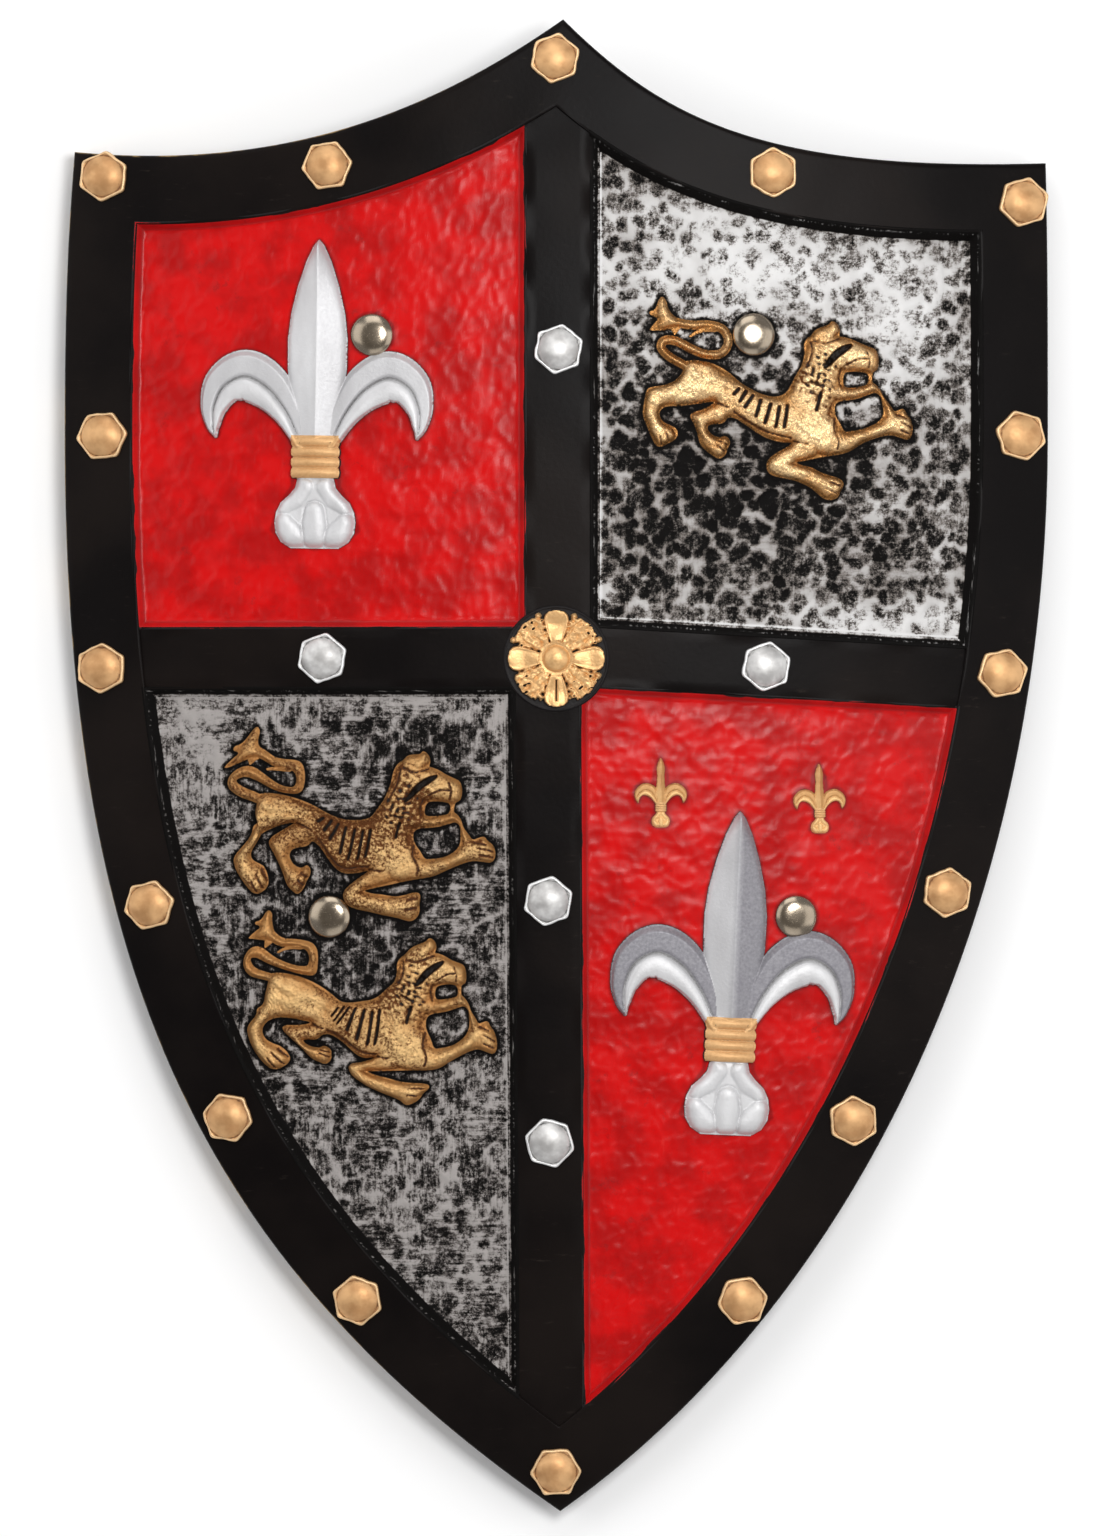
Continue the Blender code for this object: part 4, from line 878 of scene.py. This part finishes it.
def spread_out(length, fine, coarse, zone=0.0045):
    """Shares of a length at fine steps near both ends and coarse ones between."""
    edge = np.arange(0, zone, fine)
    inner = np.linspace(zone, length - zone, max(int((length - 2 * zone) / coarse), 2))
    return np.concatenate([edge, inner, length - edge[::-1]]) / length


def patch(bottom, top, left, right, across, up):
    """A grid between four lines: the sum of both pairs' straight blends less that of the four corners."""
    u, v = across[None, :, None], up[:, None, None]
    low, high = along(bottom, across)[None], along(top, across)[None]
    west, east = along(left, up)[:, None], along(right, up)[:, None]
    corners = (1 - v) * ((1 - u) * bottom[0] + u * bottom[-1]) + v * ((1 - u) * top[0] + u * top[-1])
    return (1 - v) * low + v * high + (1 - u) * west + u * east - corners


def softened(x, radius=0.00045):
    """x above 0 and 0 below it, with a rounded bend."""
    return (x + np.sqrt(x * x + radius * radius)) / 2


def walled(distance, level, wide):
    """The height beside an edge: its level, a slope of one wall's run, and the floor."""
    run = (softened(distance) - softened(distance - wide)) / wide
    return level + 0.00009 + (PANEL - level) * np.clip(run, 0, 1)


def beaten(places, seed, size=0.0066):
    """Beaten pits: how far into its pit each point is, from the nearest of many jittered centres."""
    random = np.random.default_rng(seed)
    bent = places + 0.0007 * np.stack([ripple(places, 0.010, seed + 1), ripple(places, 0.010, seed + 2)], -1)
    flat = bent.reshape(-1, 2)
    low, high = flat.min(0) - size, flat.max(0) + size
    columns, rows = ((high - low) / size / (1.0, 0.88)).astype(int) + 2
    x, y = np.meshgrid(np.arange(columns), np.arange(rows))
    centres = np.stack([x + 0.5 * (y % 2), y * 0.88], -1) + random.uniform(-0.27, 0.27, (rows, columns, 2))
    centres = centres.reshape(-1, 2) * size + low
    weight = random.uniform(0.55, 1.05, len(centres))
    reach = random.uniform(0.44, 0.61, len(centres)) * size
    bowl = np.zeros(len(flat))
    for k in range(0, len(flat), 4000):
        gap = np.sqrt(((flat[k:k + 4000, None] - centres[None]) ** 2).sum(-1))
        depth = np.clip(1.45 - 1.1 * gap / reach, 0, 1)
        bowl[k:k + 4000] = (depth * depth * (3 - 2 * depth) * weight).max(1)
    return bowl.reshape(places.shape[:-1])


def field(name):
    """The plan of one quarter as a grid, rows from the bottom up, reaching a little over its edges."""
    post, post_side, beam, beam_side, _ = FIELDS[name]
    upper = post == "upper"
    left = beam == "left"
    sides = mitred(BORDER - OVERLAP)
    upright = bar(post, post_side * (ARMS[post][2] / 2 - OVERLAP))
    level = bar(beam, beam_side * (ARMS[beam][2] / 2 - OVERLAP))
    flank = sides[1] if left else sides[2][::-1]
    brow = sides[0][::-1] if left else sides[3]
    post_at, beam_at = meet(upright, level)
    flank_at = meet(flank, level)
    if upper:
        brow_at = meet(brow, upright) if left else meet(brow[::-1], upright)
        outer = part(flank, 0.0, flank_at[0])[::-1]
        inner = part(upright, post_at, brow_at[1])
        base = part(level, beam_at, flank_at[1])
        base = base[::-1] if left else base
        west, east = (outer, inner) if left else (inner, outer)
        bottom = base
        top = part(brow, 0.0, brow_at[0]) if left else part(brow, 0.0, len(brow) - 1.0 - brow_at[0])[::-1]
    else:
        tip_at = meet(flank, upright)
        outer = part(flank, flank_at[0], tip_at[0] - 1.0)[::-1]
        inner = part(upright, post_at, tip_at[1] - 0.0006 / 0.65)[::-1]
        top = part(level, beam_at, flank_at[1])
        top = top[::-1] if left else top
        west, east = (outer, inner) if left else (inner, outer)
        bottom = np.array([west[0], east[0]])
    return west, east, bottom, top


def make_field(name, seed, fine, coarse):
    """One quarter as a closed slab: walls by the distance to the nearest edge, and a beaten floor."""
    post, post_side, beam, beam_side, paint = FIELDS[name]
    west, east, bottom, top = field(name)
    reach = np.linalg.norm(np.diff(top, axis=0), axis=1).sum()
    rise = np.linalg.norm(np.diff(west, axis=0), axis=1).sum()
    plan = patch(bottom, top, west, east, spread_out(reach, fine, coarse), spread_out(rise, fine, coarse))
    from_sides = [nearest(plan, along(side, np.linspace(0, 1, 90)))[0] for side in SIDES]
    outline = np.min(from_sides, axis=0) - BORDER
    bars = []
    for arm, side in ((post, post_side), (beam, beam_side)):
        line = bar(arm, side * ARMS[arm][2] / 2)
        heading = (line[1] - line[0]) / np.linalg.norm(line[1] - line[0])
        normal = np.array([-heading[1], heading[0]]) * side
        bars.append((plan - line[0]) @ normal)
    bars = np.minimum(*bars)
    wide = WALL if paint == "silver" else WALL / 2
    height = np.maximum(walled(outline, 0.0, wide), walled(bars, ARM, wide))
    edge = np.minimum(outline, bars)
    near = np.full(edge.shape, 0.02)
    for loop in (*lion_rings, *lily_rings, *rivet_rings):
        line = np.concatenate([loop, loop[:1]])
        core = (loop.min(0) + loop.max(0)) / 2
        close = (np.abs(plan - core) < np.ptp(loop, axis=0) / 2 + 0.004).all(-1)
        if close.any():
            near[close] = np.minimum(near[close], nearest(plan[close], line)[0])
    floor = np.clip((edge - wide) / 0.0015, 0, 1)
    away = np.clip(near / 0.0020, 0, 1)
    x, y = plan[..., 0] * 1000, plan[..., 1] * 1000
    pit = beaten(plan, seed, 0.0058 if paint == "silver" else 0.0050)
    load = np.zeros_like(x)
    for at_x, at_y, wide, tall, amount in BRUSH_LOADS_AND_LIGHT[name]:
        load += amount * np.exp(-((x - at_x) / wide) ** 2 - ((y - at_y) / tall) ** 2)
    if paint == "silver":
        load += 1.0 * np.exp(-((edge - 0.0021) / 0.00075) ** 2) * (bars < outline)
        dent = 0.00050 * pit * (0.4 + 0.6 * away) - 0.00007 * ripple(plan, 0.0045, seed + 5)
        height = height - floor * dent
    else:
        dent = 0.00028 * pit + 0.00006 * ripple(plan, 0.014, seed) + 0.00002 * ripple(plan, 0.0035, seed + 1)
        height = height - floor * dent * (0.45 + 0.55 * away)
    top_grid = np.concatenate([plan, height[..., None], pit[..., None], edge[..., None] * 1000,
                               near[..., None] * 1000, load[..., None]], -1)
    rows, columns = plan.shape[:2]
    index = np.arange(rows * columns).reshape(rows, columns)
    rim = np.concatenate([index[0, :-1], index[:-1, -1], index[-1, :0:-1], index[:0:-1, 0]])
    flat = top_grid.reshape(-1, top_grid.shape[-1])
    centre = flat[rim, :2].mean(0)
    loops = []
    for scale, level in ((1.0, ARM - 0.0009), (1.0, -0.0043), (0.6, -0.0043), (0.2, -0.0043)):
        loop = flat[rim].copy()
        loop[:, :2] = centre + scale * (loop[:, :2] - centre)
        loop[:, 2] = level
        loops.append(loop)
    count = len(rim)
    pole = loops[-1].mean(0, keepdims=True)
    points = np.concatenate([flat, *loops, pole])
    quads = [np.stack([index[:-1, :-1], index[:-1, 1:], index[1:, 1:], index[1:, :-1]], -1).reshape(-1, 4)]
    above = rim
    for k in range(len(loops)):
        below = len(flat) + k * count + np.arange(count)
        quads.append(np.stack([above, below, np.roll(below, -1), np.roll(above, -1)], -1))
        above = below
    fan = np.stack([np.roll(above, -1), above, np.full(count, len(points) - 1)], -1)
    values = dict(zip(("pit", "edge", "figure", "load"), points[:, 3:].T))
    finish = red if paint == "red" else silver
    build(name, "painted_foam", points, [np.concatenate(quads), fan], finish, **values)


red = Finish("glossy red paint", **{"Specular IOR Level": 0.22})
mottle = red.noise(0.014, 4.0)
drag = red.noise(0.0030, 5.0, (1.0, 0.3, 1), 0.62)
# halo darkens the red round the figures and rivets: a dark wash there, and painted shade beside the raised
# parts
halo = red.value("figure").ramp(1.4, 0.1)
tone = mottle.ramp(0.35, 0.65).blend(colour(168, 1, 3), colour(200, 2, 4))
dull = (drag - red.value("pit") * 0.10).ramp(0.56, 0.72) * mottle.ramp(0.44, 0.66)
tone = (dull * 0.30).blend(tone, colour(222, 60, 54))
wash = (red.noise(0.0045, 6.0, (0.8, 0.8, 1), 0.72)).ramp(0.56, 0.72) * red.noise(0.04).ramp(0.42, 0.60)
tone = (wash * 0.38 + halo * 0.55).least(0.8).blend(tone, colour(84, 4, 8))
bare = (red.value("edge") + (red.noise(0.016, 4.0) - 0.5) * 3.2).ramp(-0.20, -0.30)
# painted shade: the red is darker down each wall, and a darker line runs along its foot
slope = red.value("edge").ramp(1.8, 1.2)
seam = red.value("edge").ramp(2.4, 1.7) * red.value("edge").ramp(1.0, 1.6)
tone = (seam * 0.40 + slope * 0.25).blend(tone, colour(110, 2, 6))
red.paint("Base Color", bare.blend(tone, colour(16, 13, 13)))
red.paint("Roughness", drag * 0.20 + wash * 0.15 + slope * 0.25 + 0.22)
red.bump(drag * 0.6 + mottle * 0.4, 0.00012)

silver = Finish("dry-brushed silver", **{"Specular IOR Level": 0.06})
grains = (silver.noise(0.0013, 6.0, rough=0.85) - 0.5) * 6.0
level = silver.noise(0.0011, 4.0, (0.12, 1.0, 1), 0.6) - 0.5
upright = silver.noise(0.0011, 4.0, (1.0, 0.12, 1), 0.6) - 0.5
turning = silver.noise(0.030, 2.0).ramp(0.44, 0.56)
strokes = (level * turning + upright * (1 - turning)) * 4.2
patches = (silver.noise(0.014, 3.0) - 0.5) * 2.2
pit = silver.value("pit")
# dim takes silver away round the figures and rivets: the brush missed it there, and it also stands as painted
# shade beside the raised parts
dim = (silver.value("figure") + grains * 0.35).ramp(1.9, 0.2)
wall = silver.value("edge").ramp(2.9, 2.3)
share = silver.value("load")
# the lower-left quarter: more streaked, and painted darker as painted shade
shaded_lower_left = silver.place("X").ramp(0.0, -0.02)
load = share + patches * 0.34 + strokes * (shaded_lower_left * 0.20 + 0.16) + grains * (pit * 0.46 + shaded_lower_left * 0.08 + 0.13)
load = load - pit * (0.84 - shaded_lower_left * 0.18 - share * 0.55) - dim * 0.7 - wall * 1.2 - shaded_lower_left * 0.06 + 0.74
cover = load.ramp(-0.05, 0.90)
# painted highlight: brighter silver where the load spots are high; painted shade on the lower-left quarter
bright = (share * 1.6 + patches * 0.5 + 0.30).ramp(0.0, 1.0)
bright = bright.blend(colour(160, 156, 153), colour(214, 213, 212))
bright = shaded_lower_left.blend(bright, colour(160, 155, 152))
middle_tone = shaded_lower_left.blend(colour(112, 105, 100), colour(88, 82, 79))
tone = cover.ramp(0.0, 0.55).blend(colour(9, 7, 6), middle_tone)
tone = cover.ramp(0.35, 1.0).blend(tone, bright)
brink = silver.value("edge") + grains * 0.25
line = brink.ramp(0.9, 0.5) * brink.ramp(0.1, 0.4)
tone = (line * strokes.ramp(0.1, 0.9) * 0.6).blend(tone, bright)
silver.paint("Base Color", tone)
silver.paint("Metallic", cover * 0.18)
silver.paint("Roughness", 0.50 - cover * 0.12 + shaded_lower_left * 0.06)
silver.bump(grains * 0.12 + strokes * 0.08 + 0.5, 0.00030)
fine, coarse = ((0.00042, 0.00089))
for seed, name in enumerate(FIELDS):
    make_field(name, 40 + 10 * seed, fine, coarse)

# Studs: a gold or silver dome on a six-sided flange, cast in one with the border and the bars
# and painted by hand, with a dark line left round each dome and its bevel worn bright, which
# also stands as a painted highlight.
STUD_ACROSS, DOME, DOME_HEIGHT, FLANGE = 0.0185, 0.0148, 0.0044, 0.0016
FLANGE_EDGE = ((0.0, -0.0012), (0.0, 0.0009), (0.0001, 0.0013), (0.0004, 0.0016), (0.0007, 0.0016))
BORDER_STUDS = (
    (0, 0.063, 0.41, 20), (0, 0.566, 0.46, 8), (1, 0.120, 0.47, 24), (2, 0.001, 0.57, 5),
    (2, 0.156, 0.41, 28), (2, 0.345, 0.51, 14), (2, 0.548, 0.45, 50), (2, 0.756, 0.44, 40),
    (2, 0.979, 0.45, 2), (3, 0.260, 0.42, 10), (3, 0.447, 0.51, 33), (3, 0.652, 0.52, 22),
    (3, 0.827, 0.44, 12), (3, 0.999, 0.42, 45), (4, 0.838, 0.36, 16), (5, 0.407, 0.43, 30),
)
ARM_STUDS = (
    ("upper", 0.52, 20), ("left", 0.52, 20), ("lower", 0.30, 20), ("lower", 0.60, 45), ("right", 0.475, 20),
)


def stud(x, y, turn, level, seed, first):
    """Rings from the root up the flange, over its bevel, across a groove and up the dome to its top."""
    angle = np.linspace(0, 2 * np.pi, 72, endpoint=False)
    beside = (angle - np.radians(turn)) % (np.pi / 3) - np.pi / 6
    hexagon = STUD_ACROSS / 2 * np.minimum(np.cos(np.pi / 6) / np.cos(beside), 0.975)
    wobble = ripple(np.stack([x + 0.01 * np.cos(angle), y + 0.01 * np.sin(angle)], -1), 0.006, seed)
    flange = hexagon + 0.00008 * wobble
    # a hollow below 0 on the flange's top rings paints its bevel light: worn paint and a painted highlight
    loops = [(flange - inset, height, -0.6 * (height > 0.001)) for inset, height in FLANGE_EDGE]
    dome = DOME / 2
    loops.append((np.minimum(hexagon - 0.0010, dome + 0.0007), FLANGE - 0.0001, -0.3))
    loops.append((np.full(72, dome + 0.0002), FLANGE - 0.0006, 0.5))
    for share in (0.99, 0.97, 0.93, 0.87, 0.79, 0.69, 0.57, 0.44, 0.30, 0.17, 0.06):
        rise = (DOME_HEIGHT - FLANGE + 0.0004) * (1 - share ** 2.2) ** 0.75
        loops.append((np.full(72, dome * share), FLANGE - 0.0004 + rise, 0.7 * share ** 9))
    grid = [
        np.column_stack([x + r * np.cos(angle), y + r * np.sin(angle), np.full((72, 2), (level + h, w))])
        for r, h, w in loops
    ]
    return lofted(np.array(grid), first)


def stud_finish(name, flat, bright, deep, bevel_highlight):
    """Brushed metal paint with a dark wash round the dome and a painted highlight on the worn bevel."""
    paint = Finish(name, **{"Metallic": 0.75, "Roughness": 0.32})
    grain = paint.noise(0.0012, 4.0)
    cloud = paint.noise(0.006, 3.0)
    dark = (paint.value("hollow") + grain * 0.7 - 0.62).ramp(0.0, 0.5)
    tone = cloud.ramp(0.3, 0.7).blend(flat, bright)
    # painted highlight and worn paint: where hollow is below 0 the colour blends to the lighter one
    tone = (paint.value("hollow") * -1.4).least(0.8).most(0.0).blend(tone, bevel_highlight)
    paint.paint("Base Color", (dark * 0.9).blend(tone, deep))
    paint.paint("Metallic", 0.60 - dark * 0.4)
    paint.paint("Roughness", grain * 0.14 + cloud * 0.14 + 0.34)
    paint.bump(grain * 0.5 + cloud * 0.5, 0.00010)
    return paint


gold_stud = stud_finish(
    "gold stud paint", colour(190, 142, 94), colour(222, 176, 124), colour(86, 50, 24), colour(238, 204, 158))
silver_stud = stud_finish(
    "silver stud paint", colour(176, 174, 172), colour(226, 225, 223), colour(50, 47, 46),
    colour(240, 240, 240))
studs = {"gold": [], "silver": []}
for number, (curve, share, inset, turn) in enumerate(BORDER_STUDS):
    back, spot, ahead = bezier(CURVES[curve], (share - 0.002, share, share + 0.002))
    tangent = (ahead - back) / np.linalg.norm(ahead - back)
    spot = spot + inset * BORDER * np.array([-tangent[1], tangent[0]])
    studs["gold"].append((*spot, turn, 0.0, number))
for number, (name, share, turn) in enumerate(ARM_STUDS):
    line = bar(name)
    start = line[0] + (line[1] - line[0]) * 0.05 / 0.65
    end = part(line, 0.0, meet(line, ring)[0])[-1]
    studs["silver"].append((*(start + share * (end - start)), turn, ARM, 30 + number))
for metal, spots in studs.items():
    places, quads, fans, first = [], [], [], 0
    for spot in spots:
        points, sides, ends = stud(*spot, first)
        places.append(points)
        quads.append(sides)
        fans.append(ends)
        first += len(points)
    places = np.concatenate(places)
    build("studs_" + metal, "painted_foam", places, [np.concatenate(quads), np.concatenate(fans)],
          gold_stud if metal == "gold" else silver_stud, hollow=places[:, 3])

# Rosette: a round black pad over the crossing with a gold flower cast on it, four broad petals
# and four ruffled ones round a domed button. The gold is brushed on, and black stays in the gaps.
PAD, BUTTON = 0.0188, 0.0047
MAIN_PETAL = ((3.0, 0.0), (4.0, 1.6), (6, 2.3), (8, 3.2), (11, 4.3), (13.5, 4.9), (15.4, 4.4), (16.6, 3.0),
              (17.2, 0.0))
SIDE_PETAL = ((3.0, 0.0), (4.5, 1.9), (7, 3.4), (10, 5.4), (12.4, 6.6), (14.2, 6.6), (15.8, 5.2), (17.0, 0.0))
BEADS = ((67, 16.2), (24, 16.4), (113, 16.3), (157, 16.5), (338, 16.0))


def petal_at(x, y, turn, outline):
    """Places along and across a petal, and how far out across it each is as a share of its half width."""
    a = np.radians(turn)
    u, v = (x * np.cos(a) + y * np.sin(a)) * 1000, (-x * np.sin(a) + y * np.cos(a)) * 1000
    half = np.interp(u, *np.array(outline).T)
    return u, v, np.where(half > 0.05, np.abs(v) / np.maximum(half, 0.05), 2.0)


def rosette_height(x, y):
    """Heights, gilding and dark places over the pad: the highest of beads, petals and button everywhere."""
    radius = np.hypot(x, y)
    spots = np.stack([x, y], -1)
    edge = np.clip((PAD - radius) / 0.0006, 0, 1)
    height = 0.0003 * np.sqrt(edge) + 0.00022 * np.exp(-((radius - 0.0182) / 0.0003) ** 2)
    gilt, hollow = np.zeros_like(x), np.zeros_like(x)
    crumbs = ripple(spots, 0.0021, 77, 30)
    for turn in (45, 135, 225, 315):
        u, v, s = petal_at(x, y, turn, SIDE_PETAL)
        folds = np.abs(np.sin(v * 0.95 + 0.35 * np.sin(u * 0.9))) ** 0.6
        ragged = np.clip((1 - s + 0.10 * crumbs) * 5, 0, 1)
        holes = np.clip((crumbs + 0.30 * (u - 12.5) / 3 - 1.75) * 3, 0, 1) * (u > 9)
        here = ragged * (0.0017 + 0.0009 * folds + 0.0002 * crumbs) * (1 - 0.8 * holes)
        taller = here > height
        gilt = np.where(taller, np.clip(ragged * 1.4, 0, 1) * (1 - holes), gilt)
        hollow = np.where(taller, 0.26 * (1 - folds) + 0.10 * (crumbs < -0.9), hollow)
        height = np.maximum(height, here)
    for turn in (90, 0, 180, 270):
        u, v, s = petal_at(x, y, turn, MAIN_PETAL)
        inside = np.clip((1 - s) * 6, 0, 1)
        bowl = np.exp(-((u - 11.8) / 3.2) ** 2) * np.clip(1 - s ** 2, 0, 1) * (0.9 if turn == 90 else 0.5)
        slit = np.exp(-(v / 0.32) ** 2) * ((u > 7.5) & (u < 15.0)) * (turn == 270)
        lip = np.exp(-((s - 0.82) / 0.12) ** 2) * 0.0003
        crown = 0.0012 * np.sqrt(np.clip(1 - s ** 2, 0, 1))
        here = inside * (0.0019 + crown - 0.0012 * bowl - 0.0010 * slit + lip)
        taller = here > height
        gilt = np.where(taller, inside, gilt)
        hollow = np.where(taller, np.maximum(slit, 0.5 * bowl + 0.6 * np.clip((7.5 - u) / 3, 0, 1)), hollow)
        height = np.maximum(height, here)
    for turn, out in BEADS:
        a = np.radians(turn)
        away = np.hypot(x * 1000 - out * np.cos(a), y * 1000 - out * np.sin(a))
        bead = 0.0024 * np.sqrt(np.clip(1 - (away / 1.15) ** 2, 0, 1))
        gilt = np.where(bead > height, 1.0, gilt)
        height = np.maximum(height, bead)
    collar = np.exp(-((radius - 0.0056) / 0.0004) ** 2)
    button = np.sqrt(np.clip(1 - (radius / BUTTON) ** 2, 0, 1))
    core = radius < 0.0063
    height = np.where(core, 0.0016 + 0.0007 * collar + 0.0027 * button, height)
    gilt = np.where(core, 1.0, gilt)
    hollow = np.where(core, np.exp(-((radius - 0.0049) / 0.00022) ** 2), hollow)
    return height, gilt, hollow


turns = np.linspace(0, 2 * np.pi, 360, endpoint=False)
radii = np.r_[np.linspace(PAD, 0.0175, 7), np.linspace(0.0172, 0.0066, 44), np.linspace(0.0063, 0.0002, 16)]
x, y = radii[:, None] * np.cos(turns), radii[:, None] * np.sin(turns)
height, gilt, hollow = rosette_height(x, y)
loops = np.stack([x + CENTRE[0], y + CENTRE[1], ARM + height, gilt, hollow], -1)
root = loops[:1] * (1, 1, 0, 0, 0) + (0, 0, ARM - 0.0010, 0, 0)
loops = np.concatenate([root, loops])
places, *faces = lofted(loops)
flower = Finish("gilded rosette", **{"Specular IOR Level": 0.2})
grain = flower.noise(0.0009, 4.0)
on = (flower.value("gilt") + grain * 0.5 - 0.25).ramp(0.35, 0.75)
low = (flower.value("hollow") * 1.1 + grain * 0.5 - 0.5).ramp(0.1, 0.7)
tone = grain.blend(colour(200, 150, 94), colour(240, 198, 142))
tone = low.blend(tone, colour(56, 32, 12))
flower.paint("Base Color", on.blend(colour(20, 16, 16), tone))
flower.paint("Metallic", on * 0.58 - low * 0.2)
flower.paint("Roughness", 0.42 - on * 0.08 + grain * 0.12)
flower.bump(grain, 0.00010)
build("rosette", "painted_foam", places, faces, flower, gilt=places[:, 3], hollow=places[:, 4])

# Straps: two lengths of black webbing behind the shield, a hand grip above and an arm strap
# below, woven from polyester, stitched across their ends and held by the rivets.
STRAPS = {"hand_grip": (0.1358, 0.1532, 0.0250, 0.0180), "arm_strap": (0.1663, -0.0532, 0.0320, 0.0140)}
STRAP_THICKNESS, STRAP_FOOT, STRAP_TOP, ASIDE = 0.0024, 0.0125, -0.0125, 0.0023

webbing = Finish("black webbing", **{"Roughness": 0.8, "Sheen Weight": 0.2})
run, wide = webbing.value("run"), webbing.value("wide")
wave = webbing.math("SINE", run * 2.6)
ribs = wave * 0.5 + 0.5
weft = webbing.math("SINE", wide * 4.2 + webbing.math("SIGN", wave) * 1.57) * 0.5 + 0.5
weave = ribs * 0.55 + weft * 0.45
stitch = webbing.value("seam").ramp(0.55, 0.25) * webbing.math("SINE", wide * 2.1).ramp(-0.3, 0.1)
fuzz = webbing.noise(0.0008, 4.0)
tone = (weave * 0.7 + fuzz * 0.5 - 0.1).blend(colour(12, 12, 13), colour(44, 43, 44))
webbing.paint("Base Color", stitch.blend(tone, colour(70, 68, 66)))
webbing.paint("Roughness", weave * 0.15 + 0.68)
webbing.bump(weave * 0.8 + stitch * 0.9 + fuzz * 0.2, 0.00025)
for name, (span, up, width, bow) in STRAPS.items():
    reach, bow_half = span / 2 + STRAP_FOOT, span / 2 - STRAP_FOOT
    x = np.linspace(-reach + 0.0001, reach - 0.0001, 240)
    hang = bow * (0.5 + 0.5 * np.cos(np.pi * np.minimum(np.abs(x) / bow_half, 1.0)))
    round_edge = np.radians(np.linspace(-90, 90, 7))
    half, thin = width / 2 - 0.0001, STRAP_THICKNESS / 2
    flat_side = np.linspace(-1, 1, 14)[1:-1] * (half - thin)
    section = [(half - thin + thin * np.cos(a), thin * np.sin(a)) for a in round_edge]
    section += [(across, thin) for across in flat_side[::-1]]
    section += [(-half + thin - thin * np.cos(a), thin * np.sin(a)) for a in round_edge[::-1]]
    section += [(across, -thin) for across in flat_side]
    across, lift = np.array(section).T
    from_end = reach - np.abs(x)
    seam = np.minimum(np.abs(from_end - 0.003), np.abs(from_end - 0.0215)) * 1000
    level = STRAP_TOP - thin - hang[:, None] + lift * 0.98
    grid = np.stack(np.broadcast_arrays(
        ASIDE + x[:, None], up + across, level, x[:, None] * 1000, across * 1000, seam[:, None]), -1)
    places, *faces = lofted(grid)
    build(name + "_webbing", "webbing", places, faces, webbing, (name,),
          run=places[:, 3], wide=places[:, 4], seam=places[:, 5])

# Stage: a plain pale floor, a large softbox up to the right, two wide fills, and a camera
# straight above the shield's face.
bpy.ops.mesh.primitive_plane_add(size=8.0, location=(0, 0, 0))
floor = bpy.context.object
floor.name = "floor"
paper = Finish("pale floor", **{"Base Color": (0.95, 0.95, 0.95, 1.0), "Roughness": 0.9})
floor.data.materials.append(paper.material)

world = bpy.data.worlds.new("studio")
bpy.context.scene.world = world
world.use_nodes = True
sky = Wire(world.node_tree, world.node_tree.nodes.new("ShaderNodeTexCoord").outputs["Generated"])
height = sky.node("SeparateXYZ", {0: sky}, output=2)
glow = height.ramp(0.93, 0.55).blend((0.17, 0.16, 0.15, 1.0), (0.34, 0.34, 0.35, 1.0))
world.node_tree.links.new(glow.socket, world.node_tree.nodes["Background"].inputs["Color"])


def softbox(name, place, size, power):
    """A square area light that faces the middle of the shield."""
    lamp = bpy.data.lights.new(name, "AREA")
    lamp.shape = "SQUARE"
    lamp.size = size
    lamp.energy = power
    item = bpy.data.objects.new(name, lamp)
    item.location = place
    x, y, z = np.array(place) - (0.0, 0.0, 0.02)
    item.rotation_euler = (np.arctan2(np.hypot(x, y), z), 0.0, np.arctan2(y, x) + np.pi / 2)
    bpy.context.scene.collection.objects.link(item)


softbox("key", (0.34, 0.34, 1.70), 0.55, 16)
softbox("left fill", (-1.35, 0.35, 0.95), 1.4, 7)
softbox("right fill", (1.35, -0.10, 0.95), 1.4, 7)
softbox("low fill", (0.1, -1.45, 1.05), 1.4, 4.5)
softbox("high fill", (-0.2, 1.45, 1.05), 1.2, 9)

eye = bpy.data.cameras.new("camera")
eye.lens = 330.8
eye.clip_end = 20.0
camera = bpy.data.objects.new("camera", eye)
camera.location = (0.0007, -0.0004, 5.03)
bpy.context.scene.collection.objects.link(camera)
bpy.context.scene.camera = camera
bpy.context.scene.view_settings.view_transform = "Standard"
